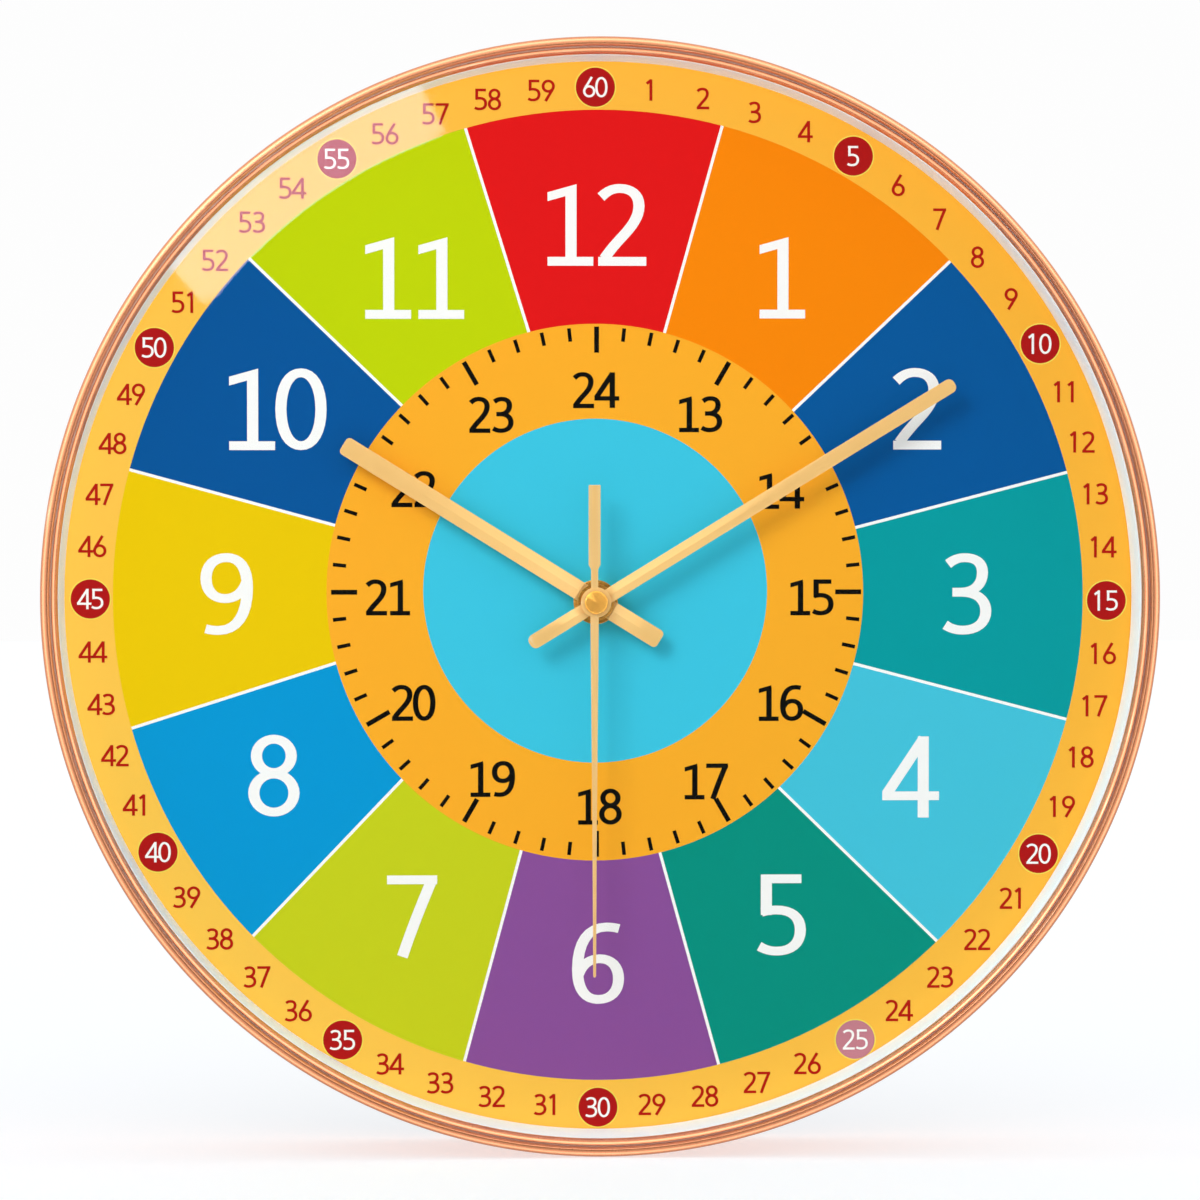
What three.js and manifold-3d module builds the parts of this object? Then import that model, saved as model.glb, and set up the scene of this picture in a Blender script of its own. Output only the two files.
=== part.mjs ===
// A 300 mm teaching clock: plated rim, glass, printed dial, hands, back cover and a quartz movement.
// Millimetres. Every piece is drawn with x to the right, y up and z from the wall towards the viewer,
// and the whole clock is then turned so that the dial faces -Y and 12 o'clock is +Z.
import * as THREE from 'three';
import { mergeVertices } from 'three/addons/utils/BufferGeometryUtils.js';
import Module from 'manifold-3d';

const wasm = await Module();
wasm.setup();

// Fits
const seat = 0.3; // between pieces that rest on one another
const run = 0.3; // around and between pieces that turn
const overrun = 2; // how far a cutting body passes a face
const weld = 0.0001; // points closer than this are one point

// Number of flats on round pieces
const flats = { rim: 48, rib: 28, hub: 16, small: 10, pin: 8, curve: 3 };

// Rim, bezel, glass, spacer and dial
const rim = {
  radius: 150,
  rearInset: 1.6,
  wall: 2.5,
  rearWall: 2.4,
  rearFillet: 0.7,
  bulgeEnd: 24,
  rollHeight: 3.6,
  rollInnerDrop: 1.5,
  grooveDepth: 1.6,
  flangeThickness: 1.8,
  flangeReach: 8.5,
};
const boss = { count: 6, firstAngle: 30, radius: 3.2, pilotDepth: 10, inset: 5, webThickness: 1.6 };
const bezel = { lip: 1.7, height: 3.4, innerHeight: 0.9, ridgeHeight: 0.5, ridgeWidth: 0.6 };
const glass = { thickness: 2, bevel: 0.3, crown: 1.18, slopeWidth: 13.5 };
const spacer = { innerTaper: 0.8, toeWidth: 1.6, headHeight: 1.2, waistWall: 1.1 };
const dial = { thickness: 1.2 };
const handAxis = { x: -1.3, y: -1.4 }; // where the hands' axis stands, from the middle of the rim
const dialSpace = 12; // from the dial's face to the glass

// Back cover
const cover = {
  inset: 2.4,
  thickness: 2.2,
  windowGap: 1,
  collarWall: 1.5,
  collarHeight: 4,
  ribHeight: 1,
  ribWidth: 1.6,
  ribCount: 12,
  ribToWindow: 18,
  ribToEdge: 14.7,
};
const keyhole = {
  toEdge: 37.7,
  headRadius: 5,
  slotRadius: 2.6,
  slotLength: 10,
  pocketWall: 1.4,
  pocketDepth: 9,
  pocketMargin: 2.5,
};
const screw = { shank: 1.1, length: 9, head: 2.7, headHeight: 1.4, headEdge: 0.5 };

// Movement housing
const movement = { width: 56, corner: 4, wall: 1.3, frontWall: 1.4, wallGap: 1.2, floorGap: 1.1 };
const battery = { radius: 7.25, length: 49.5, nubRadius: 2.6, nubLength: 1, edge: 0.8 };
const partition = { thickness: 1.2, toTrain: 2.1 };
const notch = { radius: 9 };
const contact = { thickness: 0.4, width: 7, height: 9, leafReach: 0.9, stripWidth: 2.6 };
const bearing = { radius: 1.6, rise: 0.8, depth: 1.3 };
const pivotRadius = 0.5;

// Wheels. A tooth is set in modules and in shares of half the tooth pitch.
const tooth = { addendumShare: 0.8, dedendumShare: 1.15, rootShare: 0.66, tipShare: 0.26 };
const train = { wheel: 0.8, levelGap: 0.9, trainModule: 0.4, motionModule: 0.48, pinionOverhang: 0.3 };
const teeth = {
  rotor: 6,
  fifth: 36,
  fifthPinion: 8,
  seconds: 40,
  secondsPinion: 6,
  third: 48,
  thirdPinion: 6,
  centre: 45,
  cannon: 10,
  minute: 30,
  minutePinion: 8,
  hour: 32,
  setting: 10,
};
const bearingAngle = { third: 150, fifth: 40, rotor: 20, minute: -10, setting: -20 };
const bridge = { thickness: 1, left: 21.5, right: 24, low: 9.6, high: 15.2, corner: 2.5 };
const bridgePost = { radius: 1.5, stake: 0.7 };
const bridgePosts = [
  { angle: 203, distance: 18.8 },
  { angle: 146, distance: 23 },
  { angle: 8, distance: 22 },
];

// Shafts on the clock's axis, from the innermost outwards
const arbor = { radius: 0.5 };
const cannonTube = { wall: 0.85 };
const hourTube = { wall: 0.7 };
const bush = { wall: 1, flange: 1.6, flangeThickness: 0.5 };
const centreHub = { wall: 0.9, rise: 0.3 };

// Motor and electronics
const rotor = { magnetRadius: 3, magnetThickness: 1.8, shaft: 0.8, gap: 0.6, riseFromPinion: 1.3 };
const stator = { thickness: 1, poleWidth: 2.6, armWidth: 1.7, padWidth: 5.4, legWidth: 5 };
const coil = { radius: 3.9, length: 20, flange: 4.3, flangeThickness: 1, tubeWall: 0.8, offset: 22.1 };
const core = { width: 4, thickness: 0.8, overhang: 4.5 };
const board = { width: 14, thickness: 1, low: 9.3, high: 16.4, holeRadius: 1 };
const crystal = { radius: 1.05, length: 6, inset: 4.5, height: 11 };
const chip = { radius: 3.4, rise: 1.2, inset: 7.5, height: 1.5 };
const knob = { radius: 5, thickness: 3, flutes: 14, fluteDepth: 0.45, arbor: 1.2, socketDepth: 2 };

// Fastening of the movement to the dial
const rubberWasher = { radius: 8, thickness: 1 };
const dialWasher = { radius: 5.6, thickness: 0.6 };
const nut = { acrossFlats: 10, thickness: 1.8 };
const bushStandout = 0.4; // thread that shows past the nut

// Hands
const hourHand = {
  angle: 302.2,
  length: 79,
  width: 5.4,
  tail: 19.8,
  hub: 6,
  thickness: 0.5,
  ridge: 0.6,
  endRound: 1.2,
};
const minuteHand = {
  angle: 58.8,
  length: 111.7,
  width: 3.9,
  tail: 20.3,
  hub: 4.95,
  thickness: 0.5,
  ridge: 0.45,
  endRound: 1.65,
};
const secondHand = {
  angle: 180,
  length: 101.3,
  rootWidth: 2.3,
  tipWidth: 0.9,
  neckWidth: 1.9,
  neckLength: 8.9,
  flare: 1.3,
  tail: 31.5,
  tailWidth: 3.2,
  hub: 4.1,
  thickness: 0.4,
};
const collet = { wall: 0.7, rise: 0.6 };
const handGap = 1.2; // from one hand's collet to the next hand
const secondTube = { wall: 0.5, length: 0.7 };
const cap = { radius: 3.15, edge: 0.5, height: 1.5, tipRadius: 0.9 };
const capToGlass = 1.2;

// Radii of the nested shafts
const cannonBore = arbor.radius + run;
const cannonRadius = cannonBore + cannonTube.wall;
const hourBore = cannonRadius + run;
const hourRadius = hourBore + hourTube.wall;
const bushBore = hourRadius + run;
const bushRadius = bushBore + bush.wall;
const bushHole = bushRadius + seat;

// Depths, each worked out from the wall forwards
const knobRear = movement.wallGap;
const caseRear = knobRear + knob.thickness + seat;
const caseInside = caseRear + movement.wall;
const fifthLevel = caseInside + movement.floorGap;
const secondsLevel = fifthLevel + train.wheel + train.levelGap;
const thirdLevel = secondsLevel + train.wheel + train.levelGap;
const bridgeLevel = thirdLevel + train.wheel + train.levelGap;
const bridgeFront = bridgeLevel + bridge.thickness;
const centreLevel = bridgeFront + train.levelGap;
const minuteLevel = centreLevel + train.wheel + train.levelGap;
const hourLevel = minuteLevel + train.wheel + train.levelGap;
const frontInside = hourLevel + train.wheel + train.levelGap;
const caseFront = frontInside + movement.frontWall;
const washerRear = caseFront + seat;
const dialRear = washerRear + rubberWasher.thickness + seat;
const dialFront = dialRear + dial.thickness;
const dialWasherRear = dialFront + seat;
const nutRear = dialWasherRear + dialWasher.thickness + seat;
const bushTop = nutRear + nut.thickness + bushStandout;
const hourColletRear = bushTop + run;
const hourHandRear = hourColletRear + run;
const hourTop = hourHandRear + hourHand.thickness + collet.rise;
const minuteColletRear = hourTop + run;
const minuteHandRear = minuteColletRear + handGap - collet.rise;
const minuteTop = minuteHandRear + minuteHand.thickness + collet.rise;
const secondTubeRear = minuteTop + run;
const secondHandRear = secondTubeRear + secondTube.length + seat;
const secondHandFront = secondHandRear + secondHand.thickness;
const capRear = secondHandFront + seat;
const capTop = capRear + cap.height;
const glassRear = Math.max(dialFront + dialSpace, capTop + capToGlass);
const glassFront = glassRear + glass.thickness;
const bezelRear = glassFront + seat;
const rimFront = bezelRear + bezel.height + bezel.ridgeHeight + rim.grooveDepth / 2;

// Radii of the rim's seats
const rimBore = rim.radius - rim.wall;
const rearRadius = rim.radius - rim.rearInset;
const rearBore = rearRadius - rim.rearWall;
const seatRadius = rimBore - seat; // glass, spacer and dial
const bezelInner = seatRadius - bezel.lip;
const flangeRear = dialRear - seat - rim.flangeThickness;
const bossCircle = rearBore - boss.inset;
const coverRadius = rearBore - seat;
const outerRib = coverRadius - cover.ribToEdge;
const keyholeHeight = coverRadius - keyhole.toEdge;
const coverRear = cover.inset;
const coverFront = coverRear + cover.thickness;
const bossRear = coverFront + seat;

// Plan of the wheels
const half = movement.width / 2;
const inside = half - movement.wall;
const innerRib = half + cover.windowGap + cover.ribToWindow;
const secondsReach = tipRadius(teeth.seconds, train.trainModule);
const trainFloor = -secondsReach - partition.toTrain;
const batteryTop = trainFloor - partition.thickness;
const batteryAxis = batteryTop - seat - battery.radius;
const batteryDepth = frontInside - seat - battery.radius;
const caseFloor = batteryAxis - battery.radius - seat - movement.wall;
const thirdSpan = meshSpan(teeth.secondsPinion, teeth.third, train.trainModule);
const thirdModule = (2 * thirdSpan) / (teeth.thirdPinion + teeth.centre);
const minuteSpan = meshSpan(teeth.cannon, teeth.minute, train.motionModule);
const hourModule = (2 * minuteSpan) / (teeth.minutePinion + teeth.hour);
const fifthSpan = meshSpan(teeth.fifthPinion, teeth.seconds, train.trainModule);
const rotorSpan = meshSpan(teeth.rotor, teeth.fifth, train.trainModule);
const settingSpan = meshSpan(teeth.minute, teeth.setting, train.motionModule);
const axis = new THREE.Vector2(0, 0);
const thirdAxis = polar(bearingAngle.third, thirdSpan);
const fifthAxis = polar(bearingAngle.fifth, fifthSpan);
const rotorAxis = fifthAxis.clone().add(polar(bearingAngle.rotor, rotorSpan));
const minuteAxis = polar(bearingAngle.minute, minuteSpan);
const settingAxis = minuteAxis.clone().add(polar(bearingAngle.setting, settingSpan));
const pivotTip = caseInside + bearing.rise - bearing.depth + run;
const bearingTop = caseInside + bearing.rise;
const magnetRear = fifthLevel + train.wheel + rotor.riseFromPinion;
const statorRear = magnetRear + (rotor.magnetThickness - stator.thickness) / 2;
const coreRear = statorRear + stator.thickness + seat;
const coilDepth = coreRear + core.thickness / 2;
const boardRear = caseInside + seat;
const boardFront = boardRear + board.thickness;

// Helpers for places and wheels

function radians(angle) {
  return THREE.MathUtils.degToRad(angle);
}

function polar(angle, distance) {
  return new THREE.Vector2(Math.cos(radians(angle)), Math.sin(radians(angle))).multiplyScalar(distance);
}

function pitchRadius(count, module) {
  return (count * module) / 2;
}

function tipRadius(count, module) {
  return pitchRadius(count, module) + tooth.addendumShare * module;
}

function meshSpan(countA, countB, module) {
  return pitchRadius(countA, module) + pitchRadius(countB, module);
}

// Angle of a tooth on the second wheel when the first has a tooth at phaseA and they mesh at `angle`.
function meshPhase(phaseA, countA, angle, countB) {
  return angle + 180 + 180 / countB - ((phaseA - angle) * countA) / countB;
}

// Helpers for solids

function bareGeometry(geometry) {
  const bare = new THREE.BufferGeometry();
  bare.setAttribute('position', geometry.getAttribute('position'));
  bare.setIndex(geometry.getIndex());
  const merged = mergeVertices(bare, weld);
  const index = Array.from(merged.getIndex().array);
  const kept = [];
  for (let i = 0; i < index.length; i += 3) {
    const [a, b, c] = index.slice(i, i + 3);
    if (a !== b && b !== c && c !== a) {
      kept.push(a, b, c);
    }
  }
  merged.setIndex(kept);
  return merged;
}

function signedVolume(geometry) {
  const position = geometry.getAttribute('position');
  const index = geometry.getIndex().array;
  const [a, b, c] = [new THREE.Vector3(), new THREE.Vector3(), new THREE.Vector3()];
  let volume = 0;
  for (let i = 0; i < index.length; i += 3) {
    a.fromBufferAttribute(position, index[i]);
    b.fromBufferAttribute(position, index[i + 1]);
    c.fromBufferAttribute(position, index[i + 2]);
    volume += a.dot(b.cross(c)) / 6;
  }
  return volume;
}

function outward(geometry) {
  const bare = bareGeometry(geometry);
  if (signedVolume(bare) < 0) {
    bare.setIndex(Array.from(bare.getIndex().array).reverse());
  }
  return bare;
}

function solidOf(geometry) {
  const closed = outward(geometry);
  const vertProperties = new Float32Array(closed.getAttribute('position').array);
  const triVerts = new Uint32Array(closed.getIndex().array);
  return new wasm.Manifold(new wasm.Mesh({ numProp: 3, vertProperties, triVerts }));
}

function geometryOf(solid) {
  const mesh = solid.getMesh();
  const geometry = new THREE.BufferGeometry();
  geometry.setAttribute('position', new THREE.BufferAttribute(mesh.vertProperties, mesh.numProp));
  geometry.setIndex(Array.from(mesh.triVerts));
  return geometry;
}

function join(first, ...others) {
  return geometryOf(others.reduce((solid, other) => solid.add(solidOf(other)), solidOf(first)));
}

function cut(body, ...tools) {
  return geometryOf(tools.reduce((solid, tool) => solid.subtract(solidOf(tool)), solidOf(body)));
}

// A profile of [radius, depth] pairs, turned about the z axis.
function turned(profile, count) {
  const points = profile.map(([radius, depth]) => new THREE.Vector2(radius, depth));
  return new THREE.LatheGeometry(points, count).rotateX(Math.PI / 2);
}

function turnedRing(profile, count) {
  return turned([...profile, profile[0]], count);
}

function plate(shape, thickness, curveSegments = flats.hub / 2) {
  return new THREE.ExtrudeGeometry(shape, { depth: thickness, bevelEnabled: false, curveSegments });
}

function circle(radius, x = 0, y = 0) {
  return new THREE.Shape().absarc(x, y, radius, 0, 2 * Math.PI);
}

function rod(radius, from, to, count = flats.pin) {
  const length = to - from;
  const geometry = new THREE.CylinderGeometry(radius, radius, length, count);
  return geometry.rotateX(Math.PI / 2).translate(0, 0, from + length / 2);
}

function rodAt(place, radius, from, to, count = flats.pin) {
  return rod(radius, from, to, count).translate(place.x, place.y, 0);
}

function sleeve(outer, inner, from, to, count = flats.hub) {
  const profile = [[inner, from], [outer, from], [outer, to], [inner, to]];
  return turnedRing(profile, count);
}

function block(left, right, low, high, rear, front) {
  const geometry = new THREE.BoxGeometry(right - left, high - low, front - rear);
  return geometry.translate((left + right) / 2, (low + high) / 2, (rear + front) / 2);
}

function roundedRectangle(left, right, low, high, corner) {
  const shape = new THREE.Shape();
  shape.absarc(right - corner, high - corner, corner, 0, Math.PI / 2);
  shape.absarc(left + corner, high - corner, corner, Math.PI / 2, Math.PI);
  shape.absarc(left + corner, low + corner, corner, Math.PI, 1.5 * Math.PI);
  shape.absarc(right - corner, low + corner, corner, 1.5 * Math.PI, 2 * Math.PI);
  return shape;
}

// A rectangle with round corners at its `round` edge and square ones at its `flat` edge.
function archedBlock(left, right, flat, round, corner, rear, front) {
  const side = Math.sign(round - flat);
  const centre = round - side * corner;
  const quarter = (side * Math.PI) / 2;
  const shape = new THREE.Shape();
  shape.moveTo(left, flat);
  shape.lineTo(right, flat);
  shape.absarc(right - corner, centre, corner, 0, quarter, side < 0);
  shape.absarc(left + corner, centre, corner, quarter, 2 * quarter, side < 0);
  return plate(shape, front - rear, flats.curve).translate(0, 0, rear);
}

function roundedBlock(left, right, low, high, corner, rear, front) {
  const shape = roundedRectangle(left, right, low, high, corner);
  return plate(shape, front - rear, flats.curve).translate(0, 0, rear);
}

// A toothed wheel from `rear` to `front`, with one tooth at angle `phase`.
function gear(count, module, phase, rear, front) {
  const tip = tipRadius(count, module);
  const root = pitchRadius(count, module) - tooth.dedendumShare * module;
  const halfPitch = 180 / count;
  const shape = new THREE.Shape();
  for (let i = 0; i < count; i += 1) {
    const middle = phase + 2 * halfPitch * i;
    const corners = [
      polar(middle - tooth.rootShare * halfPitch, root),
      polar(middle - tooth.tipShare * halfPitch, tip),
      polar(middle + tooth.tipShare * halfPitch, tip),
      polar(middle + tooth.rootShare * halfPitch, root),
    ];
    for (const corner of corners) {
      if (shape.curves.length === 0 && shape.currentPoint.length() === 0) {
        shape.moveTo(corner.x, corner.y);
      } else {
        shape.lineTo(corner.x, corner.y);
      }
    }
  }
  return plate(shape, front - rear).translate(0, 0, rear);
}

// Round holes that lighten a wheel, between its hub and its teeth.
function webHoles(count, ring, radius, rear, front) {
  return Array.from({ length: count }, (unused, i) => {
    const place = polar((360 / count) * (i + 1 / 2), ring);
    return rodAt(place, radius, rear - overrun, front + overrun, flats.pin);
  });
}

// Finishes: colour, roughness, metalness
const finishes = {
  roseGold: [0xd9946c, 0.22, 1],
  clearGlass: [0xf4f8f8, 0.03, 0],
  whitePlastic: [0xf2efec, 0.45, 0],
  dialPrint: [0xfcb12e, 0.4, 0],
  blackPlastic: [0x222222, 0.55, 0],
  greyPlastic: [0x2b2c2e, 0.5, 0],
  handGold: [0xe6bd74, 0.32, 1],
  brass: [0xc99a3f, 0.25, 1],
  steel: [0xb9bbbd, 0.3, 1],
  wheelPlastic: [0xf4f1e6, 0.4, 0],
  copper: [0xb4622d, 0.35, 1],
  magnet: [0x4a4a4d, 0.5, 1],
  circuit: [0x8a6a35, 0.5, 0],
  rubber: [0x1d1d1d, 0.85, 0],
  cell: [0x3b6ea5, 0.35, 0],
};

function piece(name, geometry, finish) {
  const [color, roughness, metalness] = finishes[finish];
  const material = new THREE.MeshStandardMaterial({ color, roughness, metalness });
  const mesh = new THREE.Mesh(outward(geometry), material);
  mesh.name = name;
  return mesh;
}

function bossAngles() {
  return Array.from({ length: boss.count }, (unused, i) => boss.firstAngle + (360 / boss.count) * i);
}

// Rim and glazing

function rimProfile() {
  const path = new THREE.Path();
  path.moveTo(rearBore, 0);
  path.lineTo(rearRadius - rim.rearFillet, 0);
  path.lineTo(rearRadius, rim.rearFillet);
  path.quadraticCurveTo(rim.radius, rim.bulgeEnd / 2, rim.radius, rim.bulgeEnd);
  path.lineTo(rim.radius, rimFront - rim.rollHeight);
  const rollMiddle = rim.radius - rim.wall / 2;
  path.absellipse(rollMiddle, rimFront - rim.rollHeight, rim.wall / 2, rim.rollHeight, 0, 0.75 * Math.PI);
  path.lineTo(rimBore, rimFront - rim.rollInnerDrop - rim.grooveDepth);
  path.lineTo(rimBore, dialRear - seat);
  path.lineTo(rimBore - rim.flangeReach, dialRear - seat);
  path.lineTo(rimBore - rim.flangeReach, flangeRear);
  path.lineTo(rearBore, flangeRear);
  return path.getPoints(flats.curve).map((point) => [point.x, point.y]);
}

function screwBoss(angle) {
  const post = rod(boss.radius, bossRear, flangeRear + rim.flangeThickness / 2, flats.pin);
  const reach = rearBore + rim.rearWall / 2 - bossCircle;
  const halfWeb = boss.webThickness / 2;
  const web = block(0, reach, -halfWeb, halfWeb, bossRear + seat, flangeRear + rim.flangeThickness / 2);
  return [post, web].map((part) => part.translate(bossCircle, 0, 0).rotateZ(radians(angle)));
}

function frameRing() {
  const ring = turnedRing(rimProfile(), flats.rim);
  const bosses = bossAngles().flatMap(screwBoss);
  const pilotEnd = bossRear + boss.pilotDepth;
  const pilots = bossAngles().map((angle) => {
    return rodAt(polar(angle, bossCircle), screw.shank + seat, bossRear - overrun, pilotEnd);
  });
  return piece('frame_ring', cut(join(ring, ...bosses), ...pilots), 'roseGold');
}

function bezelInsert() {
  const top = bezelRear + bezel.height;
  const ridgeInner = seatRadius - bezel.ridgeWidth;
  const profile = [
    [bezelInner, bezelRear],
    [seatRadius, bezelRear],
    [seatRadius, top],
    [(seatRadius + ridgeInner) / 2, top + bezel.ridgeHeight],
    [ridgeInner, top],
    [bezelInner, bezelRear + bezel.innerHeight],
  ];
  return piece('bezel_insert', turnedRing(profile, flats.rim), 'roseGold');
}

function glassLens() {
  const plateau = bezelInner - glass.slopeWidth;
  const profile = [
    [0, glassRear + glass.crown],
    [plateau, glassRear + glass.crown],
    [bezelInner, glassRear],
    [seatRadius, glassRear],
    [seatRadius, glassFront - glass.bevel],
    [seatRadius - glass.bevel, glassFront],
    [bezelInner, glassFront],
    [plateau, glassFront + glass.crown],
    [0, glassFront + glass.crown],
  ];
  return piece('glass_lens', turned(profile, flats.rim), 'clearGlass');
}

function spacerRing() {
  const rear = dialFront + seat;
  const front = glassRear - seat;
  const toe = bezelInner - spacer.innerTaper;
  const headRear = front - spacer.headHeight;
  const profile = [
    [toe, rear],
    [toe + spacer.toeWidth, rear],
    [bezelInner + spacer.waistWall, headRear],
    [seatRadius, headRear],
    [seatRadius, front],
    [bezelInner, front],
  ];
  return piece('spacer_ring', turnedRing(profile, flats.rim), 'whitePlastic');
}

function dialPlate() {
  const shape = circle(seatRadius);
  shape.holes.push(circle(bushHole, handAxis.x, handAxis.y));
  const geometry = plate(shape, dial.thickness, flats.rim / 2).translate(0, 0, dialRear);
  return piece('dial_plate', geometry, 'dialPrint');
}

// Back cover and its screws

function windowEdges(margin) {
  const side = half + cover.windowGap + margin;
  const low = caseFloor - cover.windowGap - margin;
  return [handAxis.x - side, handAxis.x + side, handAxis.y + low, handAxis.y + side];
}

function keyholeShape(margin) {
  const shape = new THREE.Shape();
  const head = keyhole.headRadius + margin;
  const slot = keyhole.slotRadius + margin;
  const open = Math.asin(slot / head);
  const slotTop = keyholeHeight + keyhole.slotLength;
  shape.absarc(0, keyholeHeight, head, Math.PI / 2 + open, 2.5 * Math.PI - open);
  shape.absarc(0, slotTop, slot, 0, Math.PI);
  return shape;
}

function keyholePocket() {
  const margin = keyhole.pocketMargin + keyhole.pocketWall;
  const depth = keyhole.pocketDepth;
  const outer = plate(keyholeShape(margin), depth, flats.small / 2);
  const inner = plate(keyholeShape(keyhole.pocketMargin), depth - keyhole.pocketWall, flats.small / 2);
  return cut(outer, inner.translate(0, 0, -seat)).translate(0, 0, coverFront - seat);
}

function coverRibs() {
  const rear = coverRear - cover.ribHeight;
  const middle = coverRear + cover.thickness / 2;
  const rings = [innerRib, outerRib].map((radius) => {
    return sleeve(radius + cover.ribWidth / 2, radius - cover.ribWidth / 2, rear, middle, flats.rib);
  });
  const spokes = Array.from({ length: cover.ribCount }, (unused, i) => {
    const halfWidth = cover.ribWidth / 2;
    const spoke = block(innerRib, outerRib, -halfWidth, halfWidth, rear, middle);
    return spoke.rotateZ(radians((360 / cover.ribCount) * (i + 1 / 2)));
  });
  return [...rings, ...spokes];
}

function backCover() {
  const shape = circle(coverRadius);
  const sheet = plate(shape, cover.thickness, flats.rim / 2).translate(0, 0, coverRear);
  const collarEnd = coverFront + cover.collarHeight;
  const collar = roundedBlock(...windowEdges(cover.collarWall), movement.corner, coverRear, collarEnd);
  const body = join(sheet, ...coverRibs(), collar, keyholePocket());
  const windowHole = block(...windowEdges(0), -overrun, collarEnd + overrun);
  const hangHole = plate(keyholeShape(0), coverFront + overrun, flats.small / 2).translate(0, 0, -seat);
  const screwHoles = bossAngles().map((angle) => {
    return rodAt(polar(angle, bossCircle), screw.shank + seat, -overrun, coverFront + overrun);
  });
  return piece('back_cover', cut(body, windowHole, hangHole, ...screwHoles), 'blackPlastic');
}

function backScrew(index, angle) {
  const headFront = coverRear - seat;
  const headRear = headFront - screw.headHeight;
  const profile = [
    [0, headRear],
    [screw.head - screw.headEdge, headRear],
    [screw.head, headRear + screw.headEdge],
    [screw.head, headFront],
    [screw.shank, headFront],
    [screw.shank, headFront + screw.length],
    [0, headFront + screw.length],
  ];
  const mesh = piece(`back_screw_${index}`, turned(profile, flats.pin), 'steel');
  const place = polar(angle, bossCircle);
  mesh.position.set(place.x, place.y, 0);
  return mesh;
}

// Movement housing

function bearingBoss(place) {
  return rodAt(place, bearing.radius, caseInside - bearing.rise / 2, bearingTop);
}

function bearingHole(place) {
  return rodAt(place, pivotRadius + run, bearingTop - bearing.depth, bearingTop + overrun);
}

function movementFrontCase() {
  const shell = roundedBlock(-half, half, caseFloor, half, movement.corner, caseRear, caseFront);
  const innerCorner = movement.corner - movement.wall;
  const mouth = caseRear - overrun;
  const works = archedBlock(-inside, inside, trainFloor, inside, innerCorner, mouth, frontInside);
  const batteryFloor = caseFloor + movement.wall;
  const batteryRoom = archedBlock(-inside, inside, batteryTop, batteryFloor, innerCorner, mouth, frontInside);
  const finger = rod(notch.radius, caseFloor - overrun, batteryFloor + overrun, flats.hub);
  finger.rotateX(-Math.PI / 2).translate(0, 0, caseRear);
  const wirePath = block(
    -inside, -inside + contact.thickness + 2 * seat,
    batteryTop - overrun, trainFloor + overrun, caseRear - overrun, batteryDepth + seat,
  );
  const returnPath = wirePath.clone().translate(2 * inside - contact.thickness - 2 * seat, 0, 0);
  const hollow = cut(shell, works, batteryRoom, finger, wirePath, returnPath);
  const posts = bridgePosts.flatMap(({ angle, distance }) => {
    const place = polar(angle, distance);
    const post = rodAt(place, bridgePost.radius, bridgeFront + seat, frontInside + seat, flats.small);
    return [post, rodAt(place, bridgePost.stake, bridgeLevel + seat, frontInside)];
  });
  const thirdBearing = rodAt(thirdAxis, bearing.radius, thirdPivotSeat(), frontInside + seat);
  const minutePost = rodAt(minuteAxis, pivotRadius, minuteLevel - run, frontInside + seat);
  const settingBearing = rodAt(settingAxis, bearing.radius, settingTop() + run, frontInside + seat);
  const body = join(hollow, ...posts, thirdBearing, minutePost, settingBearing);
  const thirdHole = rodAt(thirdAxis, pivotRadius + run, thirdPivotSeat() - overrun, frontInside);
  const settingHole = rodAt(settingAxis, pivotRadius + run, settingTop() - overrun, frontInside);
  const centreHole = rod(bushHole, frontInside - overrun, caseFront + overrun, flats.hub);
  const flangeSink = rod(
    bushRadius + bush.flange + seat, caseFront - bush.flangeThickness - seat, caseFront + overrun, flats.hub,
  );
  return piece(
    'movement_front_case', cut(body, thirdHole, settingHole, centreHole, flangeSink), 'blackPlastic',
  );
}

function movementBackCase() {
  const left = -inside + seat;
  const right = inside - seat;
  const corner = movement.corner - movement.wall;
  const lid = archedBlock(left, right, trainFloor + seat, right, corner, caseRear, caseInside);
  const places = [axis, thirdAxis, fifthAxis, rotorAxis];
  const body = join(lid, ...places.map(bearingBoss));
  const lidFront = bearingTop + overrun;
  const settingHole = rodAt(settingAxis, knob.arbor + run, caseRear - overrun, lidFront, flats.small);
  return piece('movement_back_case', cut(body, ...places.map(bearingHole), settingHole), 'greyPlastic');
}

function trainBridge() {
  const shape = roundedRectangle(-bridge.left, bridge.right, -bridge.low, bridge.high, bridge.corner);
  const body = plate(shape, bridge.thickness, flats.curve).translate(0, 0, bridgeLevel);
  const [holeRear, holeFront] = [bridgeLevel - overrun, bridgeFront + overrun];
  const hole = (place, radius) => rodAt(place, radius, holeRear, holeFront, flats.small);
  const stakes = bridgePosts.map(({ angle, distance }) => hole(polar(angle, distance), bridgePost.stake + seat));
  const pivots = [axis, fifthAxis, rotorAxis].map((place) => hole(place, pivotRadius + run));
  const pinionHole = hole(thirdAxis, tipRadius(teeth.thirdPinion, thirdModule) + run);
  const settingRecess = hole(settingAxis, tipRadius(teeth.setting, train.motionModule) + run);
  return piece('train_bridge', cut(body, ...stakes, ...pivots, pinionHole, settingRecess), 'wheelPlastic');
}

function threadedBush() {
  const flangeRadius = bushRadius + bush.flange;
  const flangeAt = caseFront - bush.flangeThickness;
  const profile = [
    [bushBore, frontInside],
    [bushRadius, frontInside],
    [bushRadius, flangeAt],
    [flangeRadius, flangeAt],
    [flangeRadius, caseFront],
    [bushRadius, caseFront],
    [bushRadius, bushTop],
    [bushBore, bushTop],
  ];
  return piece('threaded_bush', turnedRing(profile, flats.hub), 'brass');
}

// Fastening to the dial

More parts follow.
